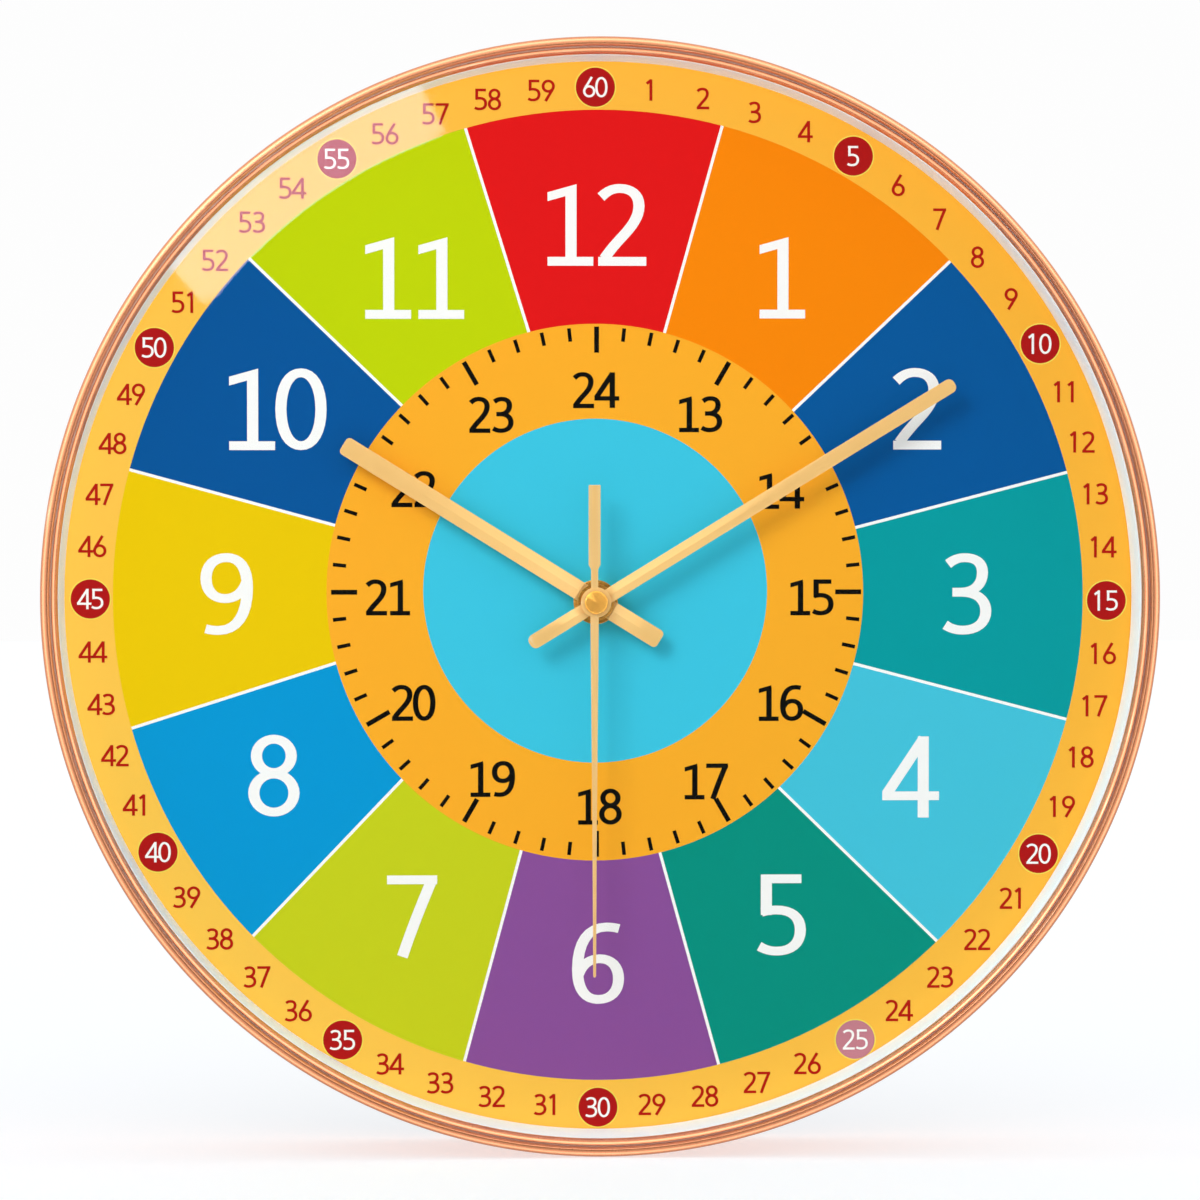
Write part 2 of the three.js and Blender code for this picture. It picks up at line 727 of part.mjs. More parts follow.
function rubberWasherRing() {
  const front = washerRear + rubberWasher.thickness;
  return piece('rubber_washer', sleeve(rubberWasher.radius, bushHole, washerRear, front), 'rubber');
}

function dialWasherRing() {
  const front = dialWasherRear + dialWasher.thickness;
  return piece('dial_washer', sleeve(dialWasher.radius, bushHole, dialWasherRear, front), 'brass');
}

function dialNut() {
  const corner = nut.acrossFlats / 2 / Math.cos(Math.PI / 6);
  const body = rod(corner, nutRear, nutRear + nut.thickness, 6);
  const hole = rod(bushHole, nutRear - overrun, nutRear + nut.thickness + overrun, flats.hub);
  return piece('dial_nut', cut(body, hole), 'brass');
}

// Going train

const fifthPhase = meshPhase(0, teeth.rotor, bearingAngle.rotor + 180, teeth.fifth);
const secondsPhase = meshPhase(0, teeth.fifthPinion, bearingAngle.fifth + 180, teeth.seconds);
const thirdPhase = meshPhase(0, teeth.secondsPinion, bearingAngle.third, teeth.third);
const centrePhase = meshPhase(0, teeth.thirdPinion, bearingAngle.third + 180, teeth.centre);
const minutePhase = meshPhase(0, teeth.cannon, bearingAngle.minute, teeth.minute);
const hourPhase = meshPhase(0, teeth.minutePinion, bearingAngle.minute + 180, teeth.hour);
const settingPhase = meshPhase(minutePhase, teeth.minute, bearingAngle.setting, teeth.setting);

function placed(mesh, place) {
  mesh.position.set(place.x, place.y, 0);
  return mesh;
}

function rotorPinion() {
  const pinionFront = fifthLevel + train.wheel + train.pinionOverhang;
  const body = join(
    rod(pivotRadius, pivotTip, bridgeFront - seat),
    gear(teeth.rotor, train.trainModule, 0, fifthLevel - train.pinionOverhang, pinionFront),
    rod(rotor.shaft, pinionFront - seat, magnetRear + rotor.magnetThickness + seat),
  );
  return placed(piece('rotor_pinion', body, 'wheelPlastic'), rotorAxis);
}

function rotorMagnet() {
  const front = magnetRear + rotor.magnetThickness;
  const body = sleeve(rotor.magnetRadius, rotor.shaft + seat, magnetRear, front, flats.small);
  return placed(piece('rotor_magnet', body, 'magnet'), rotorAxis);
}

function fifthWheel() {
  const front = fifthLevel + train.wheel;
  const pinionFront = secondsLevel + train.wheel + train.pinionOverhang;
  const body = join(
    gear(teeth.fifth, train.trainModule, fifthPhase, fifthLevel, front),
    gear(teeth.fifthPinion, train.trainModule, 0, front - seat, pinionFront),
    rod(pivotRadius, pivotTip, bridgeFront - seat),
  );
  return placed(piece('fifth_wheel', body, 'wheelPlastic'), fifthAxis);
}

function secondsWheel() {
  const front = secondsLevel + train.wheel;
  const pinionFront = thirdLevel + train.wheel + train.pinionOverhang;
  const wheel = cut(
    gear(teeth.seconds, train.trainModule, secondsPhase, secondsLevel, front),
    ...webHoles(3, pitchRadius(teeth.seconds, train.trainModule) / 2, movement.wall, secondsLevel, front),
  );
  const body = join(
    wheel,
    gear(teeth.secondsPinion, train.trainModule, 0, front - seat, pinionFront),
    rod(arbor.radius, pivotTip, secondHandFront),
  );
  return piece('seconds_wheel', body, 'wheelPlastic');
}

function thirdPinionFront() {
  return centreLevel + train.wheel + train.pinionOverhang;
}

function thirdPivotSeat() {
  return thirdPinionFront() + run;
}

function thirdWheel() {
  const front = thirdLevel + train.wheel;
  const wheel = cut(
    gear(teeth.third, train.trainModule, thirdPhase, thirdLevel, front),
    ...webHoles(3, pitchRadius(teeth.third, train.trainModule) / 2, movement.wall, thirdLevel, front),
  );
  const body = join(
    wheel,
    gear(teeth.thirdPinion, thirdModule, 0, front - seat, thirdPinionFront()),
    rod(pivotRadius, pivotTip, thirdPivotSeat() + bearing.depth),
  );
  return placed(piece('third_wheel', body, 'wheelPlastic'), thirdAxis);
}

function centreWheel() {
  const bore = cannonRadius + run;
  const front = centreLevel + train.wheel;
  const wheel = cut(
    gear(teeth.centre, thirdModule, centrePhase, centreLevel, front),
    ...webHoles(3, pitchRadius(teeth.centre, thirdModule) / 2 + seat, movement.wall, centreLevel, front),
  );
  const hub = rod(bore + centreHub.wall, centreLevel, front + centreHub.rise, flats.small);
  const hole = rod(bore, centreLevel - overrun, front + overrun, flats.small);
  return piece('centre_wheel', cut(join(wheel, hub), hole), 'wheelPlastic');
}

// Motion work

function cannonPinion() {
  const pinionRear = minuteLevel - train.pinionOverhang;
  const pinionFront = minuteLevel + train.wheel + train.pinionOverhang;
  const body = join(
    rod(cannonRadius, bridgeFront + run, minuteTop, flats.small),
    gear(teeth.cannon, train.motionModule, 0, pinionRear, pinionFront),
  );
  const bore = rod(cannonBore, bridgeFront - overrun, minuteTop + overrun, flats.small);
  return piece('cannon_pinion', cut(body, bore), 'brass');
}

function minuteWheel() {
  const front = minuteLevel + train.wheel;
  const pinionFront = hourLevel + train.wheel + train.pinionOverhang;
  const body = join(
    gear(teeth.minute, train.motionModule, minutePhase, minuteLevel, front),
    gear(teeth.minutePinion, hourModule, 0, front - seat, pinionFront),
  );
  const bore = rod(pivotRadius + run, minuteLevel - overrun, pinionFront + overrun);
  return placed(piece('minute_wheel', cut(body, bore), 'wheelPlastic'), minuteAxis);
}

function hourWheel() {
  const body = join(
    gear(teeth.hour, hourModule, hourPhase, hourLevel, hourLevel + train.wheel),
    rod(hourRadius, hourLevel, hourTop, flats.hub),
  );
  const bore = rod(hourBore, hourLevel - overrun, hourTop + overrun, flats.hub);
  return piece('hour_wheel', cut(body, bore), 'wheelPlastic');
}

function settingTop() {
  return minuteLevel + train.wheel + train.pinionOverhang;
}

function settingArbor() {
  const pinionRear = minuteLevel - train.pinionOverhang;
  const socketFloor = knobRear + knob.thickness - knob.socketDepth;
  const body = join(
    rod(knob.arbor, socketFloor + seat, settingTop(), flats.small),
    gear(teeth.setting, train.motionModule, settingPhase, pinionRear, settingTop()),
    rod(pivotRadius, settingTop() - seat, settingTop() + run + bearing.depth),
  );
  return placed(piece('setting_arbor', body, 'wheelPlastic'), settingAxis);
}

function settingKnob() {
  const shape = new THREE.Shape();
  const points = 2 * knob.flutes;
  for (let i = 0; i < points; i += 1) {
    const corner = polar((360 / points) * i, knob.radius - (i % 2) * knob.fluteDepth);
    if (i === 0) {
      shape.moveTo(corner.x, corner.y);
    } else {
      shape.lineTo(corner.x, corner.y);
    }
  }
  const front = knobRear + knob.thickness;
  const body = plate(shape, knob.thickness).translate(0, 0, knobRear);
  const socket = rod(knob.arbor + seat, front - knob.socketDepth, front + overrun, flats.small);
  return placed(piece('setting_knob', cut(body, socket), 'greyPlastic'), settingAxis);
}

// Motor, board and battery

function coilBobbin() {
  const halfLength = coil.length / 2;
  const inner = core.width / 2 + seat + coil.tubeWall;
  const body = join(
    rod(inner, -halfLength, halfLength, flats.small),
    rod(coil.flange, -halfLength - coil.flangeThickness, -halfLength, flats.hub),
    rod(coil.flange, halfLength, halfLength + coil.flangeThickness, flats.hub),
  );
  const width = core.width / 2 + seat;
  const height = core.thickness / 2 + seat;
  const end = halfLength + coil.flangeThickness + overrun;
  const slot = block(-width, width, -height, height, -end, end);
  return alongCoil(piece('coil_bobbin', cut(body, slot), 'wheelPlastic'));
}

function alongCoil(mesh) {
  mesh.rotation.set(Math.PI / 2, Math.PI / 2, 0);
  mesh.position.set(0, coil.offset, coilDepth);
  return mesh;
}

function coilWinding() {
  const halfLength = coil.length / 2 - seat;
  const inner = core.width / 2 + coil.tubeWall + 2 * seat;
  return alongCoil(piece('coil_winding', sleeve(coil.radius, inner, -halfLength, halfLength), 'copper'));
}

function coilCore() {
  const reach = coil.length / 2 + coil.flangeThickness + core.overhang;
  const halfWidth = core.width / 2;
  const low = coil.offset - halfWidth;
  const high = coil.offset + halfWidth;
  return piece('coil_core', block(-reach, reach, low, high, coreRear, coreRear + core.thickness), 'steel');
}

function statorPlate() {
  const front = statorRear + stator.thickness;
  const hole = rotor.magnetRadius + rotor.gap;
  const padInner = coil.length / 2 + coil.flangeThickness + seat;
  const padHigh = coil.offset + core.width / 2;
  const pole = rodAt(rotorAxis, hole + stator.poleWidth, statorRear, front, flats.hub);
  const rightLeg = block(padInner, padInner + stator.legWidth, rotorAxis.y, padHigh, statorRear, front);
  const armHigh = coil.offset - coil.flange - seat;
  const armLow = armHigh - stator.armWidth;
  const arm = block(-padInner - stator.padWidth, rotorAxis.x, armLow, armHigh, statorRear, front);
  const leftPad = block(-padInner - stator.padWidth, -padInner, armLow, padHigh, statorRear, front);
  const rotorHole = rodAt(rotorAxis, hole, statorRear - overrun, front + overrun, flats.hub);
  return piece('stator_plate', cut(join(pole, rightLeg, arm, leftPad), rotorHole), 'steel');
}

function circuitBoard() {
  const left = -inside + contact.thickness + 2 * seat;
  const right = left + board.width - seat;
  const body = block(left, right, -board.low, board.high, boardRear, boardFront);
  const holes = [-board.low, board.high].map((edge) => {
    const place = new THREE.Vector2(left + board.width / 2, edge - Math.sign(edge) * 2 * board.holeRadius);
    return rodAt(place, board.holeRadius, boardRear - overrun, boardFront + overrun);
  });
  return piece('circuit_board', cut(body, ...holes), 'circuit');
}

function quartzCrystal() {
  const mesh = piece('quartz_crystal', rod(crystal.radius, 0, crystal.length, flats.pin), 'steel');
  mesh.rotation.x = -Math.PI / 2;
  const low = crystal.height - crystal.length / 2;
  mesh.position.set(-inside + crystal.inset, low, boardFront + seat + crystal.radius);
  return mesh;
}

function chipBlob() {
  const rear = boardFront + seat;
  const profile = [
    [0, rear],
    [chip.radius, rear],
    [chip.radius * Math.cos(Math.PI / 5), rear + chip.rise * Math.sin(Math.PI / 4)],
    [0, rear + chip.rise],
  ];
  const mesh = piece('chip_blob', turned(profile, flats.small), 'blackPlastic');
  return placed(mesh, new THREE.Vector2(-inside + chip.inset, chip.height));
}

function batteryLeft() {
  return -inside + seat + contact.thickness + contact.leafReach + seat;
}

function batteryCell() {
  const profile = [
    [0, 0],
    [battery.radius - battery.edge, 0],
    [battery.radius, battery.edge],
    [battery.radius, battery.length - battery.edge],
    [battery.radius - battery.edge, battery.length],
    [battery.nubRadius, battery.length],
    [battery.nubRadius, battery.length + battery.nubLength],
    [0, battery.length + battery.nubLength],
  ];
  const mesh = piece('battery_cell', turned(profile, flats.hub), 'cell');
  mesh.rotation.y = Math.PI / 2;
  mesh.position.set(batteryLeft(), batteryAxis, batteryDepth);
  return mesh;
}

function contactPlate(left, right) {
  const middle = batteryDepth;
  const halfWidth = contact.width / 2;
  const halfHeight = contact.height / 2;
  return block(
    left, right, batteryAxis - halfHeight, batteryAxis + halfHeight, middle - halfWidth, middle + halfWidth,
  );
}

function contactNegative() {
  const left = -inside + seat;
  const right = left + contact.thickness;
  const middle = batteryDepth;
  const leaf = new THREE.Shape();
  leaf.moveTo(right - seat, batteryAxis - contact.height / 2);
  leaf.lineTo(right + contact.leafReach, batteryAxis);
  leaf.lineTo(right - seat, batteryAxis + contact.height / 2);
  leaf.lineTo(right - seat, batteryAxis + contact.height / 2 - contact.thickness * 2);
  leaf.lineTo(right + contact.leafReach - contact.thickness, batteryAxis);
  leaf.lineTo(right - seat, batteryAxis - contact.height / 2 + contact.thickness * 2);
  const halfWidth = contact.width / 4;
  const spring = plate(leaf, 2 * halfWidth).translate(0, 0, middle - halfWidth);
  const tail = block(left, right, batteryAxis, -board.low, boardRear, middle);
  return piece('battery_contact_negative', join(contactPlate(left, right), spring, tail), 'steel');
}

function contactPositive() {
  const right = inside - seat;
  const left = right - contact.thickness;
  const middle = batteryDepth;
  const stripLow = trainFloor + seat;
  const stripHigh = stripLow + contact.thickness;
  const stripFront = boardRear + contact.stripWidth;
  const stripLeft = -inside + contact.thickness + board.width - contact.stripWidth;
  const tail = block(left, right, batteryAxis, stripHigh, boardRear, middle);
  const strip = block(stripLeft, right, stripLow, stripHigh, boardRear, stripFront);
  return piece('battery_contact_positive', join(contactPlate(left, right), tail, strip), 'steel');
}

// Hands, drawn pointing to 12 and turned clockwise by their angle

function handAt(mesh, rear, angle) {
  mesh.position.z = rear;
  mesh.rotation.z = -radians(angle);
  return mesh;
}

// A low ridge along a straight hand, highest at the hub and sloping to nothing at its tip.
function handRidge(hand, from, to) {
  const section = new THREE.Shape();
  section.moveTo(-hand.width / 2, 0);
  section.lineTo(hand.width / 2, 0);
  section.lineTo(0, hand.ridge);
  const ridge = plate(section, to - from).rotateX(Math.PI / 2).translate(0, to, hand.thickness - weld);
  const slope = Math.atan2(hand.ridge, to);
  const trimmer = block(-hand.width, hand.width, from - hand.length, to + hand.length, 0, hand.length);
  trimmer.rotateX(-slope).translate(0, 0, hand.thickness + hand.ridge);
  return cut(ridge, trimmer);
}

// A flat hand with a round hub, a ridge and a hole for the collet on a shaft of radius `shaft`.
function straightHand(name, hand, shaft, rear) {
  const halfWidth = hand.width / 2;
  const outline = roundedRectangle(-halfWidth, halfWidth, -hand.tail, hand.length, hand.endRound);
  const arm = plate(outline, hand.thickness, flats.curve);
  const hub = rod(hand.hub, 0, hand.thickness, flats.hub);
  const ridge = handRidge(hand, hand.endRound - hand.tail, hand.length - hand.endRound);
  const front = hand.thickness + overrun;
  const sink = rod(hand.hub - collet.wall, hand.thickness, front, flats.hub);
  const bore = rod(shaft + collet.wall + 2 * seat, -overrun, front, flats.hub);
  return handAt(piece(name, cut(join(arm, hub, ridge), sink, bore), 'handGold'), rear, hand.angle);
}

function hourCollet() {
  const bore = hourRadius + seat;
  return piece('hour_hand_collet', sleeve(bore + collet.wall, bore, hourColletRear, hourTop), 'brass');
}

function minuteCollet() {
  const bore = cannonRadius + seat;
  return piece('minute_hand_collet', sleeve(bore + collet.wall, bore, minuteColletRear, minuteTop), 'brass');
}

function secondHandPlate() {
  const shape = new THREE.Shape();
  const tipHalf = secondHand.tipWidth / 2;
  const neckHalf = secondHand.neckWidth / 2;
  const tailHalf = secondHand.tailWidth / 2;
  shape.moveTo(secondHand.rootWidth / 2, 0);
  shape.lineTo(tipHalf, secondHand.length - tipHalf);
  shape.absarc(0, secondHand.length - tipHalf, tipHalf, 0, Math.PI);
  shape.lineTo(-secondHand.rootWidth / 2, 0);
  shape.lineTo(-neckHalf, 0);
  shape.lineTo(-neckHalf, -secondHand.neckLength);
  shape.lineTo(-tailHalf, -secondHand.neckLength - secondHand.flare);
  shape.lineTo(-tailHalf, -secondHand.tail);
  shape.lineTo(tailHalf, -secondHand.tail);
  shape.lineTo(tailHalf, -secondHand.neckLength - secondHand.flare);
  shape.lineTo(neckHalf, -secondHand.neckLength);
  shape.lineTo(neckHalf, 0);
  const blade = plate(shape, secondHand.thickness, flats.curve);
  const hub = rod(secondHand.hub, 0, secondHand.thickness, flats.hub);
  const bore = rod(arbor.radius + seat, -overrun, secondHand.thickness + overrun);
  const body = cut(join(blade, hub), bore);
  return handAt(piece('second_hand', body, 'handGold'), secondHandRear, secondHand.angle);
}

function secondHandTube() {
  const bore = arbor.radius + seat;
  const front = secondTubeRear + secondTube.length;
  const tube = sleeve(bore + secondTube.wall, bore, secondTubeRear, front, flats.small);
  return piece('second_hand_tube', tube, 'brass');
}

function hubCap() {
  const profile = [
    [0, capRear],
    [cap.radius, capRear],
    [cap.radius, capRear + cap.edge],
    [cap.tipRadius, capTop],
    [0, capTop],
  ];
  return piece('hub_cap', turned(profile, flats.hub), 'brass');
}

const clock = new THREE.Group();
clock.add(frameRing(), bezelInsert(), glassLens(), spacerRing(), dialPlate(), backCover());
clock.add(...bossAngles().map((angle, i) => backScrew(i + 1, angle)));

const works = new THREE.Group();
works.add(movementFrontCase(), movementBackCase(), trainBridge(), threadedBush());
works.add(rubberWasherRing(), dialWasherRing(), dialNut());
works.add(coilBobbin(), coilWinding(), coilCore(), statorPlate());
works.add(circuitBoard(), quartzCrystal(), chipBlob());
works.add(batteryCell(), contactNegative(), contactPositive());
works.add(rotorPinion(), rotorMagnet(), fifthWheel(), secondsWheel(), thirdWheel(), centreWheel());
works.add(cannonPinion(), minuteWheel(), hourWheel(), settingArbor(), settingKnob());

const hands = new THREE.Group();
hands.add(straightHand('hour_hand', hourHand, hourRadius, hourHandRear), hourCollet());
hands.add(straightHand('minute_hand', minuteHand, cannonRadius, minuteHandRear), minuteCollet());
hands.add(secondHandPlate(), secondHandTube(), hubCap());

for (const child of [works, hands]) {
  child.position.set(handAxis.x, handAxis.y, 0);
}
clock.add(works, hands);
for (const child of clock.children) {
  child.position.z -= rimFront / 2;
}

// Dial towards -Y, 12 o'clock towards +Z
const group = new THREE.Group();
group.add(clock);
clock.rotation.x = Math.PI / 2;

export default group;
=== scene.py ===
import math

import bmesh
import bpy
from mathutils import Matrix, Vector
from mathutils.geometry import interpolate_bezier


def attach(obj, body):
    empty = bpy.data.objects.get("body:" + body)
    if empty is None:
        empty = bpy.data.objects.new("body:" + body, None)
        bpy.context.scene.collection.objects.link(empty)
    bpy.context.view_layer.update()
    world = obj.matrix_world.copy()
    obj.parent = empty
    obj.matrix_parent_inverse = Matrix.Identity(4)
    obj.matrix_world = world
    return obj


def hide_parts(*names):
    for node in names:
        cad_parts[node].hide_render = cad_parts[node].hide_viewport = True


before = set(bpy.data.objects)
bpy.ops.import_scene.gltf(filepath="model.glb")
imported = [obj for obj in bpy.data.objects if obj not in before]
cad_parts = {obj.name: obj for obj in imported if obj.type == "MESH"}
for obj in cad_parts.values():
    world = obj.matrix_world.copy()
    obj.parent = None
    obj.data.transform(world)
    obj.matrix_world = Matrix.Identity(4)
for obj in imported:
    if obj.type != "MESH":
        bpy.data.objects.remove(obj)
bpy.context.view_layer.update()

scene = bpy.context.scene
scene.view_settings.view_transform = "Standard"
mm = 0.001
rimHalf = 21.1  # half the clock's depth, so a depth in mm from the wall becomes a place on Y
handAxis = (-1.3, -1.4)  # the hands' axis, in mm right of and above the middle of the rim


def place(x, up, depth):
    # x to the right and up in mm, depth in mm from the wall towards the room
    return Vector((x, rimHalf - depth, up)) * mm


def dialPlace(angle, radius, centre=(0, 0)):
    # a point of the dial: angle in degrees clockwise from 12
    turn = math.radians(angle)
    return Vector((centre[0] + radius * math.sin(turn), centre[1] + radius * math.cos(turn)))


def linearColour(hexCode):
    values = [int(hexCode[i:i + 2], 16) / 255 for i in (1, 3, 5)]
    return [v / 12.92 if v <= 0.04045 else ((v + 0.055) / 1.055) ** 2.4 for v in values] + [1]


def finishPiece(bm, name, materials, body, nodes=(), slot=None, smoothAngle=32):
    # turns a bmesh into a finished piece that rides on a body
    bmesh.ops.remove_doubles(bm, verts=bm.verts, dist=0.5e-6)
    bmesh.ops.recalc_face_normals(bm, faces=bm.faces)
    mesh = bpy.data.meshes.new(name)
    bm.to_mesh(mesh)
    bm.free()
    obj = bpy.data.objects.new(name, mesh)
    scene.collection.objects.link(obj)
    for material in materials:
        mesh.materials.append(material)
    mesh.shade_smooth()
    mesh.set_sharp_from_angle(angle=math.radians(smoothAngle))
    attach(obj, body)
    if nodes:
        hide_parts(*nodes)


def softened(corners, radius, steps=3):
    # rounds every corner of a closed section, in mm
    most = 0.45  # share of a side that one rounding may take
    points = []
    for i, corner in enumerate(corners):
        here = Vector(corner[:2])
        before = Vector(corners[i - 1][:2])
        after = Vector(corners[(i + 1) % len(corners)][:2])
        reach = corner[2] if len(corner) > 2 else radius
        a = here + (before - here).normalized() * min(reach, (before - here).length * most)
        b = here + (after - here).normalized() * min(reach, (after - here).length * most)
        for k in range(steps + 1):
            t = k / steps
            points.append(a * (1 - t) ** 2 + here * 2 * t * (1 - t) + b * t * t)
    return points


def spun(bm, section, steps=192, centre=(0, 0)):
    # a section of (radius, depth) points in mm, spun round the middle of the rim or another centre
    verts = [bm.verts.new(place(r + centre[0], centre[1], d)) for r, d in section]
    edges = [bm.edges.new(pair) for pair in zip(verts, verts[1:] + verts[:1])]
    bmesh.ops.spin(bm, geom=verts + edges, cent=place(centre[0], centre[1], 0), axis=(0, 1, 0),
                   angle=2 * math.pi, steps=steps, use_merge=True)


def spunPiece(name, section, material, body, nodes=(), slot=None, steps=192, centre=(0, 0), **more):
    bm = bmesh.new()
    spun(bm, section, steps, centre)
    finishPiece(bm, name, [material], body, nodes, slot, **more)


def addNode(material, kind, settings=None, links=None):
    node = material.node_tree.nodes.new(kind)
    for key, value in (settings or {}).items():
        if isinstance(key, int) or key in node.inputs:
            node.inputs[key].default_value = value
        else:
            setattr(node, key, value)
    for key, socket in (links or {}).items():
        material.node_tree.links.new(socket, node.inputs[key])
    return node


def emptyMaterial(name):
    material = bpy.data.materials.new(name)
    material.use_nodes = True
    material.node_tree.nodes.clear()
    return material


def shadeMaterial(name, look):
    # a moulded, plated, printed or drawn finish: cloudy tone, fine grain and paler worn edges; a look may
    # also add painted light, as a faint glow or a tone paler on one side
    material = emptyMaterial(name)
    space = addNode(material, "ShaderNodeTexCoord").outputs["Object"]
    stretch = addNode(material, "ShaderNodeMapping", links={"Vector": space})
    if "across" in look:
        # painted light: the tone changes evenly across the dial, from one side to the other, paler on the
        # side where more light is painted on
        turn = math.radians(look["acrossTurn"])
        along = addNode(material, "ShaderNodeVectorMath",
                        {"operation": "DOT_PRODUCT", 1: (math.cos(turn), 0, math.sin(turn))}, {0: space})
        cloud = addNode(material, "ShaderNodeMapRange",
                        {"From Min": -look["across"] * mm, "From Max": look["across"] * mm},
                        {"Value": along.outputs["Value"]}).outputs["Result"]
    else:
        cloud = addNode(material, "ShaderNodeTexNoise", {"Scale": 1 / (look["cloudMm"] * mm), "Detail": 3},
                        {"Vector": space}).outputs["Fac"]
    grain = addNode(material, "ShaderNodeTexNoise",
                    {"Scale": 1 / (look["grainMm"] * mm), "Detail": 2, "Roughness": 0.6},
                    {"Vector": stretch.outputs["Vector"]})
    tone = addNode(material, "ShaderNodeMix",
                   {"data_type": "RGBA", 6: linearColour(look["colour"]),
                    7: linearColour(look["cloudColour"])}, {0: cloud})
    edge = addNode(material, "ShaderNodeNewGeometry").outputs["Pointiness"]
    worn = addNode(material, "ShaderNodeMapRange",
                   {"From Min": 0.53, "From Max": 0.62, "To Max": look.get("wear", 0.35)}, {"Value": edge})
    colour = addNode(material, "ShaderNodeMix", {"data_type": "RGBA", 7: linearColour(look["wornColour"])},
                     {0: worn.outputs["Result"], 6: tone.outputs[2]})
    rough = addNode(material, "ShaderNodeMapRange",
                    {"From Min": 0.3, "From Max": 0.7, "To Min": look["rough"][0],
                     "To Max": look["rough"][1]}, {"Value": grain.outputs["Fac"]})
    bump = addNode(material, "ShaderNodeBump",
                   {"Strength": look["bump"], "Distance": look["bumpMm"] * mm},
                   {"Height": grain.outputs["Fac"]})
    # the emission below is painted light: a faint glow from a look that asks for one, though the piece is no
    # lamp
    shader = addNode(material, "ShaderNodeBsdfPrincipled",
                     {"Metallic": look.get("metal", 0), "IOR": look.get("ior", 1.5),
                      "Coat Weight": look.get("coat", 0), "Coat Roughness": look.get("coatRough", 0.05),
                      "Anisotropic": look.get("anisotropy", 0),
                      "Anisotropic Rotation": look.get("grainTurn", 0),
                      "Emission Color": look.get("paintedGlow", (0, 0, 0, 1)), "Emission Strength": 1},
                     {"Base Color": colour.outputs[2], "Roughness": rough.outputs["Result"],
                      "Normal": bump.outputs["Normal"]})
    if look.get("anisotropy"):
        tangent = addNode(material, "ShaderNodeTangent", {"direction_type": "RADIAL", "axis": "Y"})
        material.node_tree.links.new(tangent.outputs[0], shader.inputs["Tangent"])
    addNode(material, "ShaderNodeOutputMaterial", links={"Surface": shader.outputs[0]})
    return material


def inkMaterial(name, hexCode, otherCode=None, **more):
    # screen ink on coated card: flat colour with a breath of mottle and a satin face
    return shadeMaterial(name, {
        "colour": hexCode, "cloudColour": otherCode or hexCode, "wornColour": hexCode, "cloudMm": 30,
        "grainMm": 0.35, "rough": (0.42, 0.55), "ior": 1.15, "bump": 0.08, "bumpMm": 0.01, "wear": 0,
        **more})


metalLooks = {
    # rose gold electroplate over ABS: mirror gloss softened by a faint satin, paler on the worn rolls
    "roseGoldPlate": {"colour": "#d48a5f", "cloudColour": "#ca7f55", "wornColour": "#f6c9a8", "cloudMm": 45,
                      "grainMm": 0.25, "rough": (0.26, 0.34), "metal": 0.7, "coat": 0.4, "coatRough": 0.12,
                      "bump": 0.05, "bumpMm": 0.01},
    # pale gold satin anodised aluminium, drawn along the hand: long fine streaks under a milky skin
    "goldAnodised": {"colour": "#fecd80", "cloudColour": "#f8c577", "wornColour": "#fff0cc", "cloudMm": 12,
                     "grainMm": 0.2, "rough": (0.34, 0.46), "metal": 0.3, "bump": 0.12, "bumpMm": 0.01},
    # turned brass: concentric tool marks that gather the light in wedges
    "turnedBrass": {"colour": "#e2a64c", "cloudColour": "#d49640", "wornColour": "#ffe3a0", "cloudMm": 3,
                    "grainMm": 0.12, "rough": (0.22, 0.3), "metal": 0.95, "bump": 0.05, "bumpMm": 0.005,
                    "anisotropy": 1.0, "grainTurn": 0.25},
    # zinc plated steel: cool, slightly streaked
    "platedSteel": {"colour": "#c2c6ca", "cloudColour": "#aeb3b8", "wornColour": "#e6e8ea", "cloudMm": 4,
                    "grainMm": 0.15, "rough": (0.25, 0.38), "metal": 1, "bump": 0.1, "bumpMm": 0.005},
}
